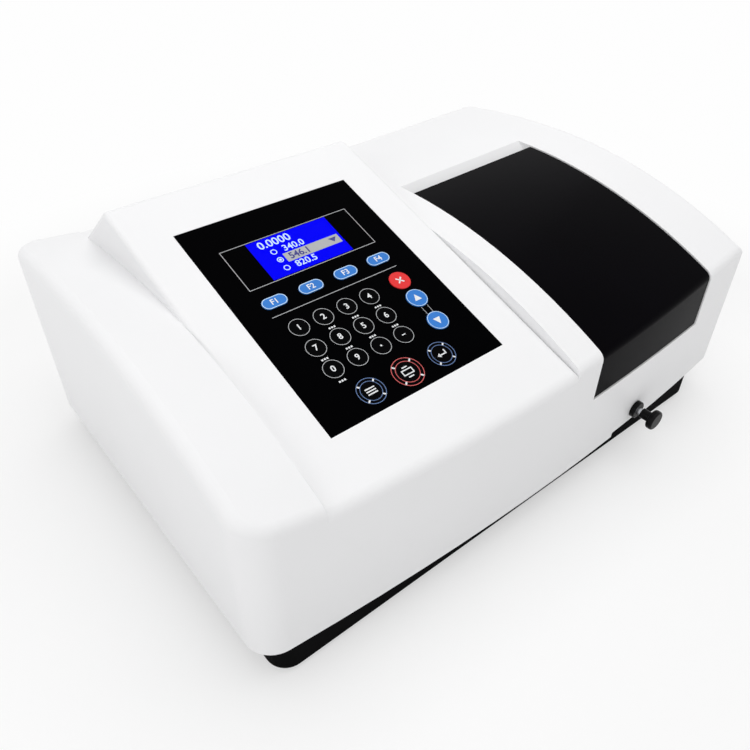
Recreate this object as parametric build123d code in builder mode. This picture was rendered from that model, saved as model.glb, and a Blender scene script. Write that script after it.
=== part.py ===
from build123d import *
from math import atan2, cos, degrees, hypot, radians, sin, sqrt, tan
import os

# A benchtop spectrophotometer with a keypad console and a sample compartment.
# Lengths are in millimetres. X runs to the right, Y from front to back, Z up.
# The origin is at floor level, in the middle of the whole object's outline.

# Driving dimensions of the case
case_width = 476.0
case_depth = 320.0
front_bow = 12.0
corner_round_left = 21.0
corner_round_right = 12.0
wall = 3.0
top_round = 8.0
foot_height = 5.0
foot_radius = 9.0
foot_inset = 26.0
foot_taper = 6.0
foot_round = 1.0
tray_height = 22.0
tray_wall = 1.6
tray_inset_left = 10.0
tray_inset_right = 21.0
tray_inset_back = 6.0
tray_front_reach = 1.9
tray_corner_round = 15.0
tray_least_round = 3.0
tray_rim = 13.0
lip_overlap = 11.0
screw_radius = 2.0
screw_head_radius = 3.5
screw_head_height = 2.4
screw_length = 5.0
screw_clearance = 0.2
screw_inset = 6.5
screw_from_front = 60.0
screw_from_back = 60.0

# The arched top: its crown above the cover's lower edge, and how far it falls
arch_crown_height = 155.5
arch_front_fall = 46.0
arch_back_fall = 10.7
arch_crown_from_front = 190.0
arch_inner_drop = 6.0
deck_step = 1.2

# Console: a flat sloping panel that ends in a ridge
console_left = -188.0
console_right = 16.0
console_slope = 17.75
console_front_below_arch = 5.1
console_ridge_from_front = 246.0
console_back_slope = 38.0
console_round = 3.5
ridge_round = 7.0

# Keypad overlay on the console
overlay_width = 143.0
overlay_length = 183.3
overlay_thickness = 1.0
overlay_from_front = 32.6
overlay_ledge = 2.0
overlay_clearance = 0.2

# Display, in the overlay's own axes
display_width = 66.4
display_height = 36.6
display_up = 45.5
display_clearance = 0.15
display_pane_thickness = 1.0
lcd_board_width = 93.0
lcd_board_height = 60.0
lcd_board_thickness = 1.6
lcd_bezel_depth = 8.0
lcd_bezel_margin = 5.0

# Keys
key_travel = 0.5
key_clearance = 0.35
key_proud = 0.5
key_flange = 0.9
key_flange_thickness = 0.7
key_rest_gap = 0.1
key_pitch_across = 19.1
key_pitch_down = 18.8
number_key_radius = 7.3
number_first_x = -41.5
number_first_y = -14.4
number_columns = 4
number_rows = 3
soft_key_pitch = 28.9
soft_key_length = 18.4
soft_key_width = 9.2
soft_key_y = 11.2
soft_key_count = 4
arrow_key_radius = 7.8
escape_key_x = 44.6
escape_key_y = -12.4
up_key_x = 45.0
up_key_y = -30.9
down_key_x = 45.2
down_key_y = -53.5
ring_key_radius = 10.0
wide_ring_key_radius = 11.3
left_ring_x = -30.7
middle_ring_x = -1.1
right_ring_x = 28.2
ring_key_y = -77.0
keypad_board_thickness = 3.6
keypad_board_half_width = 67.0
keypad_board_bottom = -88.9
keypad_board_top = 17.5
key_pocket_clearance = 0.3
key_pocket_spare = 0.3
key_edge_round = 0.25

# Sample compartment and its lid
lid_left = 41.5
lid_to_right_side = 54.5
lid_back_from_front = 190.0
lid_gap = 1.0
lid_sink = 0.8
lid_wall = 2.2
apron_height = 64.3
scoop_length = 14.0
scoop_depth = 11.5
hinge_pin_radius = 2.0
hinge_running_gap = 0.05
hinge_from_lid_edge = 4.5
hinge_below_surface = 7.0
hinge_lug_radius = 3.5
hinge_foot_below_axis = 5.0
hinge_bracket_drop = 20.0
hinge_lug_width = 10.0
hinge_lug_inset = 16.0
hinge_side_gap = 0.4
hinge_bracket_width = 8.0
tub_wall = 2.0
tub_gap = 0.3

# Optical bench
bench_left = -92.0
bench_front_from_front = 34.0
rim_gap = 1.0
bench_thickness = 8.0
bench_height = 25.0
bench_leg_radius = 9.0
bench_leg_inset = 12.0
bench_corner_round = 10.0
bench_middle_leg_x = 56.0
fixed_fit = 0.02

# Cuvette carriage, pull rod and rails
cuvette_size = 12.6
cuvette_pitch = 18.0
cuvette_count = 4
cuvette_depth = 32.0
carriage_width = 26.0
carriage_end_wall = 6.0
carriage_slab_width = 54.0
carriage_slab_height = 10.0
carriage_corner_round = 3.0
carriage_chamfer = 0.8
beam_window_radius = 4.0
beam_above_cuvette_base = 15.0
first_cell_from_front = 84.0
rail_radius = 3.0
rail_spacing = 44.0
rail_running_gap = 0.05
rail_axis_above_floor = 9.0
rail_block_width = 60.0
rail_block_height = 15.0
rail_block_thickness = 6.0
rail_front_from_front = 8.0
rail_back_from_front = 182.0
rod_passage_radius = 4.0
rod_tenon = 5.0
rod_radius = 3.0
rod_running_gap = 0.06
rod_above_cover_edge = 15.5
gland_radius = 7.2
gland_proud = 4.0
gland_boss_radius = 5.5
gland_boss_length = 9.0
gland_edge_round = 1.0
gland_clearance = 0.1
knob_reach = 30.5
knob_head_radius = 8.2
knob_head_length = 5.5
knob_neck_radius = 4.2
knob_neck_length = 8.0
knob_edge_round = 1.6
notch_left = 27.0
notch_right = 7.0
notch_height = 4.5

# Monochromator
mono_left = -55.0
mono_right = 34.0
mono_front_from_front = 58.0
mono_from_back = 70.0
mono_wall = 5.0
mono_height = 74.0
mono_corner_round = 6.0
entrance_from_mono_back = 28.0
slit_plate_size = 20.0
slit_plate_thickness = 1.0
slit_width = 0.5
slit_height = 8.0
light_port_radius = 5.0
mirror_radius = 17.0
mirror_thickness = 7.0
mirror_dish = 150.0
mirror_dish_depth = 1.2
mirror_mount_depth = 5.0
mirror_mount_height = 34.0
first_mirror_x = 8.0
second_mirror_x = -26.0
mirror_mount_width = 26.0
grating_x = -30.0
grating_from_front = 152.0
grating_width = 26.0
grating_height = 30.0
grating_thickness = 7.0
turntable_radius = 16.0
turntable_thickness = 4.0
turntable_gap = 1.0
shaft_radius = 2.5
shaft_running_gap = 0.05
shaft_passage_gap = 1.0
motor_size = 35.0
small_motor_size = 28.0
motor_length = 17.0
motor_corner_round = 4.0
motor_bore_depth = 10.0
filter_wheel_x = -62.0
filter_wheel_rise = 7.5
filter_wheel_radius = 28.0
filter_hub_radius = 6.0
filter_hub_gap = 0.6
filter_motor_face_x = -67.0
filter_wheel_thickness = 3.0
filter_hole_radius = 5.0
filter_count = 8
filter_hole_circle = 22.0

# Light source
lamp_house_left = -172.0
lamp_house_depth = 86.0
lamp_house_from_back = 34.0
lamp_house_wall = 2.0
lamp_house_height = 92.0
lamp_house_base = 4.0
lamp_port_radius = 7.0
lamp_vent_width = 4.0
lamp_vent_height = 34.0
lamp_vent_pitch = 10.0
lamp_vent_count = 6
lamp_x = -122.0
tungsten_behind_mirror = 40.0
deuterium_x = -152.0
tungsten_bulb_radius = 6.0
tungsten_bulb_height = 26.0
tungsten_bulb_round = 5.0
tungsten_base_radius = 9.0
tungsten_base_height = 30.0
deuterium_bulb_radius = 14.0
deuterium_bulb_height = 44.0
deuterium_bulb_round = 6.0
deuterium_base_radius = 15.0
deuterium_base_height = 18.0
source_mirror_size = 24.0
source_mirror_height = 40.0
source_mirror_thickness = 5.0
source_mirror_post_radius = 6.0
source_mirror_post_height = 4.0

# Detector
detector_depth = 40.0
detector_to_tub = 1.5
detector_width = 16.0
detector_bore_depth = 12.0
detector_height = 52.0
photodiode_radius = 6.0
photodiode_length = 5.0

# Electronics
board_thickness = 1.6
standoff_radius = 3.0
standoff_height = 8.0
standoff_inset = 6.0
chip_size = 14.0
chip_height = 3.0
chip_pitch = 34.0
board_to_bench = 6.0
board_to_supply = 8.0
main_board_front_from_front = 22.0
supply_width = 80.0
supply_depth = 76.0
supply_to_lamp_house = 8.0
supply_height = 42.0
supply_wall = 1.5
supply_vent_width = 3.0
supply_vent_length = 50.0
supply_vent_pitch = 9.0
supply_vent_count = 7

# Rear panel and what it carries
rear_panel_to_left_side = 22.0
rear_panel_right = 20.0
rear_panel_thickness = 1.5
rear_panel_lap = 5.0
rear_window_bottom = 12.0
rear_window_top = 104.0
panel_cutout_gap = 0.3
fan_size = 60.0
fan_depth = 15.0
fan_x = -112.0
fan_height = 84.0
fan_bore_radius = 27.5
fan_hub_radius = 13.0
fan_mount_depth = 2.5
fan_spoke_width = 4.0
fan_rotor_gap = 0.6
fan_blade_angle = 35.0
fan_blade_gap = 1.5
fan_blade_count = 7
fan_blade_thickness = 1.8
fan_pin_radius = 2.0
fan_pin_length = 11.0
fan_corner_round = 4.0
fan_hole_pitch = 50.0
fan_hole_radius = 2.1
fan_blade_chord = 12.0
vent_slot_width = 3.0
vent_slot_pitch = 6.4
vent_slot_count = 8
vent_radius = 26.0
inlet_from_panel_edge = 28.0
inlet_height = 58.0
inlet_width = 27.0
inlet_tall = 20.0
inlet_depth = 20.0
inlet_flange_margin = 2.0
inlet_mouth_width = 24.0
inlet_mouth_tall = 16.0
inlet_mouth_depth = 17.0
inlet_flange = 2.0
inlet_pin_length = 7.0
inlet_pin_width = 2.0
inlet_pin_tall = 4.0
inlet_pin_pitch = 7.0
inlet_earth_rise = 2.5
switch_height = 92.0
switch_width = 21.0
switch_tall = 15.0
switch_wall = 1.5
switch_body_depth = 16.0
rocker_radius = 6.6
rocker_face = 2.2
rocker_tilt = 12.0
rocker_axis_from_back = 4.0
rocker_pin_radius = 1.2
rocker_pin_reach = 1.0
rocker_pin_gap = 0.06
rocker_clearance = 0.4
port_x = -42.0
port_height = 52.0
port_pitch = 34.0
port_width = 31.0
port_tall = 12.5
port_depth = 12.0
port_flange = 1.0
port_shell_width = 17.0
port_shell_tall = 8.4
port_shell_reach = 1.6
port_shell_taper = 1.6
port_hole_radius = 0.6
port_hole_depth = 5.0
port_hole_pitch = 2.7
port_row_gap = 1.4
port_body_margin = 1.0

# Places that follow from the sizes above
front_y = (knob_reach - case_depth) / 2
back_y = front_y + case_depth
half_width = case_width / 2
console_front_height = arch_crown_height - arch_front_fall - console_front_below_arch
cover_base = foot_height + tray_height
tray_floor = foot_height + tray_wall
surround = 40.0
tall = 400.0


def arch_radius(height_drop, run):
    """Radius of the arc that falls by height_drop over run from its crown."""
    return (run**2 + height_drop**2) / (2 * height_drop)


crown_y = front_y + arch_crown_from_front
front_arch_radius = arch_radius(arch_front_fall, arch_crown_from_front + front_bow)
back_arch_radius = arch_radius(arch_back_fall, case_depth - arch_crown_from_front)


def arch_height(y):
    """Height of the outer arch above the floor at a place along Y."""
    radius = front_arch_radius if y < crown_y else back_arch_radius
    fall = radius - sqrt(radius**2 - (y - crown_y) ** 2)
    return cover_base + arch_crown_height - fall


def console_height(y):
    """Height of the console plane above the floor at a place along Y."""
    rise = tan(radians(console_slope)) * (y - front_y)
    return cover_base + console_front_height + rise


def box_between(low, high):
    """A plain block between two corners."""
    with BuildPart(mode=Mode.PRIVATE) as block:
        with BuildSketch(Plane.XY.offset(low[2])):
            with Locations(((low[0] + high[0]) / 2, (low[1] + high[1]) / 2)):
                Rectangle(high[0] - low[0], high[1] - low[1])
        extrude(amount=high[2] - low[2])
    return block.part


def case_outline(inset, bottom, height):
    """The case's plan outline, moved in by inset and raised as a prism."""
    with BuildPart(mode=Mode.PRIVATE) as prism:
        with BuildSketch(Plane.XY.offset(bottom)) as outline:
            with BuildLine():
                ThreePointArc(
                    (-half_width, front_y),
                    (0, front_y - front_bow),
                    (half_width, front_y),
                )
                Polyline(
                    (half_width, front_y),
                    (half_width, back_y),
                    (-half_width, back_y),
                    (-half_width, front_y),
                )
            make_face()
            corners = outline.vertices().group_by(Axis.X)
            fillet(corners[0], radius=corner_round_left)
            fillet(corners[-1], radius=corner_round_right)
            if inset:
                offset(amount=-inset, mode=Mode.REPLACE)
        extrude(amount=height)
    return prism.part


def arch_prism(x_start, x_end, start_drop, end_drop):
    """The arched block between two X places, its top lowered at each end."""
    y_first = front_y - surround
    y_last = back_y + surround
    y_front_middle = (y_first + crown_y) / 2
    y_back_middle = (y_last + crown_y) / 2
    floor_z = -tall
    length = hypot(x_end - x_start, start_drop - end_drop)

    def point(y):
        return (y, arch_height(y) - start_drop)

    with BuildPart(mode=Mode.PRIVATE) as prism:
        with BuildSketch(Plane.YZ.offset(x_start)):
            with BuildLine():
                ThreePointArc(point(y_first), point(y_front_middle), point(crown_y))
                ThreePointArc(point(crown_y), point(y_back_middle), point(y_last))
                Polyline(point(y_last), (y_last, floor_z), (y_first, floor_z), point(y_first))
            make_face()
        extrude(amount=length, dir=(x_end - x_start, 0, start_drop - end_drop))
    return prism.part


ridge_y = front_y + console_ridge_from_front
ridge_z = console_height(ridge_y)


def console_prism(x_start, x_end, drop):
    """The console wedge between two X places, its faces moved in by drop."""
    y_first = front_y - surround
    back_run = tall / tan(radians(console_back_slope))
    with BuildPart(mode=Mode.PRIVATE) as prism:
        with BuildSketch(Plane.YZ.offset(x_start)):
            with BuildLine():
                Polyline(
                    (y_first, console_height(y_first) - drop),
                    (ridge_y, ridge_z - drop),
                    (ridge_y + back_run, ridge_z - drop - tall),
                    (y_first, ridge_z - drop - tall),
                    close=True,
                )
            make_face()
        extrude(amount=x_end - x_start)
    return prism.part


def rim_rounded(prism, inset, is_rim):
    """A prism cut to the case's outline, with the chosen top edges rounded."""
    with BuildPart(mode=Mode.PRIVATE) as form:
        add(case_outline(inset, cover_base + inset, tall))
        add(prism, mode=Mode.INTERSECT)
        crown = form.faces().filter_by(lambda face: face.normal_at().Z > 0.5)
        fillet(crown.edges().filter_by(is_rim), radius=top_round - inset)
    return form.part


def wing_form(side, inset):
    """The left (-1) or right (1) wing of the case, moved in by inset."""
    x_edge = console_left if side < 0 else console_right
    x_outer = side * half_width
    slope = arch_inner_drop / abs(x_outer - x_edge)
    reach = surround / 2
    x_wide = x_edge - side * reach
    prism = arch_prism(
        x_wide,
        x_outer + side * reach,
        arch_inner_drop + slope * reach + inset,
        inset - slope * reach,
    )
    rounded = rim_rounded(
        prism,
        inset,
        lambda edge: abs(edge.center().Y - crown_y) > 1 and abs(edge.center().X - x_wide) > 1,
    )
    x_low, x_high = sorted((x_edge + side * inset, side * case_width))
    with BuildPart(mode=Mode.PRIVATE) as wing:
        add(rounded)
        add(box_between((x_low, -case_depth, 0), (x_high, case_depth, tall)), mode=Mode.INTERSECT)
    return wing.part


def console_form(inset):
    """The console wedge, with a rounded front edge, ridge and shoulders."""
    x_low = console_left + inset
    x_high = console_right - inset
    drop = inset / cos(radians(console_slope))
    wide = console_prism(x_low - surround, x_high + surround, drop)
    rounded = rim_rounded(wide, inset, lambda edge: edge.center().Y < front_y + wall + 1)
    with BuildPart(mode=Mode.PRIVATE) as shoulders:
        add(console_prism(x_low, x_high, drop))
        ridge = shoulders.edges().filter_by(Axis.X).sort_by(Axis.Z)[-1]
        fillet(ridge, radius=ridge_round - inset)
        crown = shoulders.faces().filter_by(lambda face: face.normal_at().Z > 0.5)
        sides = crown.edges().filter_by(lambda edge: abs(edge.tangent_at(0.5).X) < 0.1)
        fillet(sides, radius=console_round - inset / 2)
    with BuildPart(mode=Mode.PRIVATE) as console:
        add(rounded)
        add(shoulders.part, mode=Mode.INTERSECT)
    return console.part


def deck_form(inset):
    """The low arched strip behind the console's ridge."""
    drop = arch_inner_drop + deck_step + inset
    x_low = console_left - inset
    x_high = console_right + inset
    prism = arch_prism(x_low - surround, x_high + surround, drop, drop)
    rounded = rim_rounded(prism, inset, lambda edge: edge.center().Y > back_y - wall - 1)
    with BuildPart(mode=Mode.PRIVATE) as deck:
        add(rounded)
        block = box_between((x_low, ridge_y, 0), (x_high, back_y + surround, tall))
        add(block, mode=Mode.INTERSECT)
    return deck.part


def passage_form(x_edge, inset):
    """Room that joins the hollow of the console to a wing's across the edge between them."""
    x_low = x_edge - inset - 1
    x_high = x_edge + inset + 1
    drop = arch_inner_drop + inset
    console_drop = inset / cos(radians(console_slope))
    with BuildPart(mode=Mode.PRIVATE) as passage:
        add(case_outline(inset + top_round, cover_base + inset, tall))
        add(arch_prism(x_low, x_high, drop, drop), mode=Mode.INTERSECT)
        add(console_prism(x_low, x_high, console_drop), mode=Mode.INTERSECT)
    return passage.part


def case_form(inset):
    """The whole upper case as one solid, moved in by inset."""
    with BuildPart(mode=Mode.PRIVATE) as form:
        add(wing_form(-1, inset))
        add(wing_form(1, inset))
        add(console_form(inset))
        add(deck_form(inset))
        if inset:
            add(passage_form(console_left, inset))
            add(passage_form(console_right, inset))
    return form.part


def save(piece, name):
    """Label a finished piece and write it."""
    piece.label = name
    export_step(piece, f"parts/{name}.step")


os.makedirs("parts", exist_ok=True)

# Places inside the case
apron_top = cover_base + apron_height
lid_back = front_y + lid_back_from_front
lid_right = half_width - lid_to_right_side
rear_panel_left = -half_width + rear_panel_to_left_side
inlet_x = rear_panel_left + inlet_from_panel_edge
rod_x = (lid_left + lid_right) / 2
bench_top = bench_height + bench_thickness
tub_floor_top = bench_top + tub_wall
rod_z = cover_base + rod_above_cover_edge
cell_base = rod_z - 1.0
beam_z = cell_base + beam_above_cuvette_base
beam_y = front_y + first_cell_from_front
wing_slope = arch_inner_drop / (half_width - console_right)


# Base tray: a shallow box with an inward rim that carries the cover
tray_left = -half_width + tray_inset_left
tray_right = half_width - tray_inset_right
tray_front = front_y - tray_front_reach
tray_back = back_y - tray_inset_back
tray_centre = ((tray_left + tray_right) / 2, (tray_front + tray_back) / 2)
tray_length = tray_right - tray_left
tray_depth = tray_back - tray_front


def tray_outline(inset):
    """The tray's rounded outline, moved in by inset, for the sketch it is used in."""
    with Locations(tray_centre):
        RectangleRounded(
            tray_length - 2 * inset,
            tray_depth - 2 * inset,
            max(tray_corner_round - inset, tray_least_round),
        )


foot_places = [
    (x, y)
    for x in (tray_left + foot_inset, tray_right - foot_inset)
    for y in (tray_front + foot_inset, tray_back - foot_inset)
]
screw_places = [
    (x, y)
    for x in (tray_left + screw_inset, tray_right - screw_inset)
    for y in (front_y + screw_from_front, back_y - screw_from_back)
]

with BuildPart() as base_tray:
    with BuildSketch(Plane.XY.offset(foot_height)):
        tray_outline(0)
    extrude(amount=tray_height)
    with BuildSketch(Plane.XY.offset(tray_floor)):
        tray_outline(tray_wall)
    extrude(amount=tray_height - 2 * tray_wall, mode=Mode.SUBTRACT)
    with BuildSketch(Plane.XY.offset(tray_floor)):
        tray_outline(tray_rim)
    extrude(amount=tray_height, mode=Mode.SUBTRACT)
    with BuildSketch(Plane.XY.offset(foot_height)):
        with Locations(screw_places):
            Circle(screw_head_radius + screw_clearance)
    extrude(amount=tray_wall, mode=Mode.SUBTRACT)
    with BuildSketch(Plane.XY.offset(cover_base - tray_wall)):
        with Locations(screw_places):
            Circle(screw_radius + screw_clearance)
    extrude(amount=tray_wall, mode=Mode.SUBTRACT)
save(base_tray.part, "base_tray")

with BuildPart() as rubber_feet:
    with BuildSketch(Plane.XY):
        with Locations(foot_places):
            Circle(foot_radius)
    extrude(amount=foot_height, taper=-foot_taper)
    fillet(rubber_feet.faces().sort_by(Axis.Z)[: len(foot_places)].edges(), radius=foot_round)
save(rubber_feet.part, "rubber_feet")

with BuildPart() as cover_screws:
    with BuildSketch(Plane.XY.offset(cover_base - tray_wall - screw_head_height)):
        with Locations(screw_places):
            Circle(screw_head_radius)
    extrude(amount=screw_head_height)
    with BuildSketch(Plane.XY.offset(cover_base - tray_wall)):
        with Locations(screw_places):
            Circle(screw_radius)
    extrude(amount=screw_length)
save(cover_screws.part, "cover_screws")


# The sloping panel's own plane: local Y runs up the slope, local Z points out
slope_angle = radians(console_slope)
overlay_centre_run = overlay_from_front + overlay_length / 2 * cos(slope_angle)
overlay_centre_y = front_y + overlay_centre_run
panel_plane = Plane(
    origin=((console_left + console_right) / 2, overlay_centre_y, console_height(overlay_centre_y)),
    x_dir=(1, 0, 0),
    z_dir=(0, -sin(slope_angle), cos(slope_angle)),
)

number_keys = [
    (f"key_number_{row + 1}{column + 1}", number_first_x + column * key_pitch_across,
     number_first_y - row * key_pitch_down, number_key_radius)
    for row in range(number_rows)
    for column in range(number_columns)
]
arrow_keys = [
    ("key_escape", escape_key_x, escape_key_y, arrow_key_radius),
    ("key_up", up_key_x, up_key_y, arrow_key_radius),
    ("key_down", down_key_x, down_key_y, arrow_key_radius),
]
ring_keys = [
    ("key_ring_left", left_ring_x, ring_key_y, ring_key_radius),
    ("key_ring_middle", middle_ring_x, ring_key_y, wide_ring_key_radius),
    ("key_ring_right", right_ring_x, ring_key_y, ring_key_radius),
]
round_keys = number_keys + arrow_keys + ring_keys
soft_keys = [
    (f"key_soft_{index + 1}", (index - (soft_key_count - 1) / 2) * soft_key_pitch, soft_key_y)
    for index in range(soft_key_count)
]


def key_shapes(growth):
    """Every key's outline, grown by growth, for the sketch it is used in."""
    for _, x, y, radius in round_keys:
        with Locations((x, y)):
            Circle(radius + growth)
    for _, x, y in soft_keys:
        with Locations((x, y)):
            SlotOverall(soft_key_length + 2 * growth, soft_key_width + 2 * growth)


# Top cover
def inner_drop_at(x):
    """How far the right wing's top lies below the outer arch at an X place."""
    return arch_inner_drop - wing_slope * (x - console_right)


def scoop_solid(growth):
    """The wedge that the lid's rear edge swings into, grown by growth."""
    x_low = lid_left - growth
    x_high = lid_right + growth
    low = inner_drop_at(x_low)
    fall = low - inner_drop_at(x_high)
    y_low = lid_back - wall
    y_high = lid_back + scoop_length + growth
    floor_z = arch_height(lid_back) - low - scoop_depth - growth
    roof_z = cover_base + arch_crown_height + surround
    with BuildPart(mode=Mode.PRIVATE) as scoop:
        with BuildSketch(Plane.YZ.offset(x_low)):
            with BuildLine():
                Polyline(
                    (y_low, floor_z),
                    (lid_back, floor_z),
                    (y_high, arch_height(y_high) - low - growth),
                    (y_high, roof_z),
                    (y_low, roof_z),
                    close=True,
                )
            make_face()
        extrude(amount=hypot(x_high - x_low, fall), dir=(x_high - x_low, 0, fall))
    return scoop.part


case_outer = case_form(0)
case_inner = case_form(wall)
scoop_block = scoop_solid(wall)
with BuildPart() as scoop_wall:
    add(scoop_block)
    add(case_inner, mode=Mode.INTERSECT)
    add(
        box_between((lid_left - wall, lid_back, 0), (lid_right + wall, back_y, tall)),
        mode=Mode.INTERSECT,
    )

with BuildPart() as top_cover:
    add(case_outer)
    add(case_inner, mode=Mode.SUBTRACT)
    add(scoop_wall.part)
    add(scoop_solid(0), mode=Mode.SUBTRACT)
    # Opening for the lid
    add(
        box_between((lid_left, front_y - surround, apron_top), (lid_right, lid_back, tall)),
        mode=Mode.SUBTRACT,
    )
    # Bottom opening inside the lip
    with BuildSketch(Plane.XY.offset(cover_base)):
        tray_outline(lip_overlap)
    extrude(amount=wall, mode=Mode.SUBTRACT)
    with BuildSketch(Plane.XY.offset(cover_base)):
        with Locations(screw_places):
            Circle(screw_radius + screw_clearance)
    extrude(amount=wall, mode=Mode.SUBTRACT)
    # Seat for the keypad overlay and the window under it
    with BuildSketch(panel_plane.offset(-overlay_thickness)):
        Rectangle(overlay_width + 2 * overlay_clearance, overlay_length + 2 * overlay_clearance)
    extrude(amount=surround, mode=Mode.SUBTRACT)
    with BuildSketch(panel_plane.offset(-2 * wall)):
        Rectangle(overlay_width - 2 * overlay_ledge, overlay_length - 2 * overlay_ledge)
    extrude(amount=surround, mode=Mode.SUBTRACT)
    # Window for the rear panel
    add(
        box_between(
            (rear_panel_left + rear_panel_lap, back_y - wall, cover_base + rear_window_bottom),
            (rear_panel_right - rear_panel_lap, back_y + wall, cover_base + rear_window_top),
        ),
        mode=Mode.SUBTRACT,
    )
    # Hole for the pull rod's gland, and the notch in the lower edge beside it
    with BuildSketch(Plane.XZ.offset(-front_y - surround)):
        with Locations((rod_x, rod_z)):
            Circle(gland_boss_radius + gland_clearance)
    extrude(amount=2 * surround, mode=Mode.SUBTRACT)
    add(
        box_between(
            (rod_x - notch_left, front_y - surround, cover_base - 1),
            (rod_x + notch_right, tray_front, cover_base + notch_height),
        ),
        mode=Mode.SUBTRACT,
    )
save(top_cover.part, "top_cover")


# Sample compartment tub, which lines the opening under the lid
rail_block_fronts = (
    front_y + rail_front_from_front,
    front_y + rail_back_from_front - rail_block_thickness,
)
rail_length = rail_back_from_front - rail_front_from_front
rail_z = tub_floor_top + rail_axis_above_floor
rail_places = [(rod_x + side * rail_spacing / 2, rail_z) for side in (-1, 1)]

with BuildPart() as tub_cavity:
    add(case_outline(wall + tub_gap + tub_wall, tub_floor_top, tall))
    add(
        box_between((lid_left, front_y - surround, 0), (lid_right, lid_back, tall)),
        mode=Mode.INTERSECT,
    )

with BuildPart() as sample_tub:
    add(case_outline(wall + tub_gap, bench_top, tall))
    add(wing_form(1, wall + tub_gap), mode=Mode.INTERSECT)
    add(
        box_between(
            (lid_left - tub_wall, front_y - surround, bench_top),
            (lid_right + tub_wall, lid_back + tub_wall, tall),
        ),
        mode=Mode.INTERSECT,
    )
    add(tub_cavity.part, mode=Mode.SUBTRACT)
    add(
        box_between(
            (lid_left, front_y - surround, apron_top), (lid_right, front_y + surround, tall)
        ),
        mode=Mode.SUBTRACT,
    )
    add(scoop_solid(wall + tub_gap), mode=Mode.SUBTRACT)
    # Light ports in both side walls, and the pull rod's hole in front
    with BuildSketch(Plane.YZ.offset(lid_left - surround)):
        with Locations((beam_y, beam_z)):
            Circle(light_port_radius)
    extrude(amount=lid_right - lid_left + 2 * surround, mode=Mode.SUBTRACT)
    with BuildSketch(Plane.XZ.offset(-front_y - surround)):
        with Locations((rod_x, rod_z)):
            Circle(gland_boss_radius + gland_clearance)
    extrude(amount=surround + rail_front_from_front, mode=Mode.SUBTRACT)
    # Two cross blocks that hold the guide rails
    for block_front in rail_block_fronts:
        with BuildSketch(Plane.XY.offset(tub_floor_top)):
            with Locations((rod_x, block_front + rail_block_thickness / 2)):
                Rectangle(rail_block_width, rail_block_thickness)
        extrude(amount=rail_block_height)
    with BuildSketch(Plane.XZ.offset(-rail_block_fronts[0])):
        with Locations(*rail_places):
            Circle(rail_radius + fixed_fit)
    extrude(amount=-rail_length, mode=Mode.SUBTRACT)
    with BuildSketch(Plane.XZ.offset(-rail_block_fronts[0])):
        with Locations((rod_x, rod_z)):
            Circle(rod_passage_radius)
    extrude(amount=-rail_block_thickness, mode=Mode.SUBTRACT)
save(sample_tub.part, "sample_tub")

with BuildPart() as guide_rails:
    with BuildSketch(Plane.XZ.offset(-rail_block_fronts[0])):
        with Locations(*rail_places):
            Circle(rail_radius)
    extrude(amount=-rail_length)
save(guide_rails.part, "guide_rails")

# The lid: an arched top and a front wall, flush with the case around it
with BuildPart() as lid_blank:
    add(wing_form(1, lid_sink))
    add(
        box_between(
            (lid_left + lid_gap, front_y - surround, apron_top + lid_gap),
            (lid_right - lid_gap, lid_back - lid_gap, tall),
        ),
        mode=Mode.INTERSECT,
    )

hinge_y = lid_back - lid_gap - hinge_from_lid_edge
hinge_mid_x = (lid_left + lid_right) / 2
hinge_z = arch_height(hinge_y) - inner_drop_at(hinge_mid_x) - hinge_below_surface
hinge_plane = Plane(
    origin=(hinge_mid_x, hinge_y, hinge_z), x_dir=(0, 1, 0), z_dir=(1, 0, wing_slope)
)
lug_offset = (lid_right - lid_left) / 2 - hinge_lug_inset
bracket_offset = lug_offset - hinge_lug_width / 2 - hinge_side_gap - hinge_bracket_width / 2

with BuildPart() as lid_lugs:
    for side in (-1, 1):
        with BuildSketch(hinge_plane.offset(side * lug_offset - hinge_lug_width / 2)):
            Circle(hinge_lug_radius)
            with Locations((-hinge_lug_radius / 2, hinge_below_surface / 2)):
                Rectangle(hinge_lug_radius, hinge_below_surface)
        extrude(amount=hinge_lug_width)
    add(wing_form(1, lid_sink + lid_wall / 2), mode=Mode.INTERSECT)

with BuildPart() as sample_lid:
    add(lid_blank.part)
    add(wing_form(1, lid_sink + lid_wall), mode=Mode.SUBTRACT)
    add(lid_lugs.part)
    with BuildSketch(hinge_plane.offset(-lid_right)):
        Circle(hinge_pin_radius + hinge_running_gap)
    extrude(amount=2 * lid_right, mode=Mode.SUBTRACT)
save(sample_lid.part, "sample_lid")

with BuildPart() as hinge_brackets:
    for side in (-1, 1):
        with BuildSketch(hinge_plane.offset(side * bracket_offset - hinge_bracket_width / 2)):
            Circle(hinge_lug_radius)
            with Locations((0, -hinge_bracket_drop / 2)):
                Rectangle(2 * hinge_lug_radius, hinge_bracket_drop)
            with Locations((0, -hinge_foot_below_axis)):
                Rectangle(
                    lid_back - hinge_y,
                    hinge_bracket_drop - hinge_foot_below_axis,
                    align=(Align.MIN, Align.MAX),
                )
            Circle(hinge_pin_radius, mode=Mode.SUBTRACT)
        extrude(amount=hinge_bracket_width)
save(hinge_brackets.part, "hinge_brackets")

pin_length = 2 * (lug_offset + hinge_lug_width / 2 + hinge_side_gap)
with BuildPart() as lid_hinge_pin:
    with BuildSketch(hinge_plane.offset(-pin_length / 2)):
        Circle(hinge_pin_radius)
    extrude(amount=pin_length)
save(lid_hinge_pin.part, "lid_hinge_pin")


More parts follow.
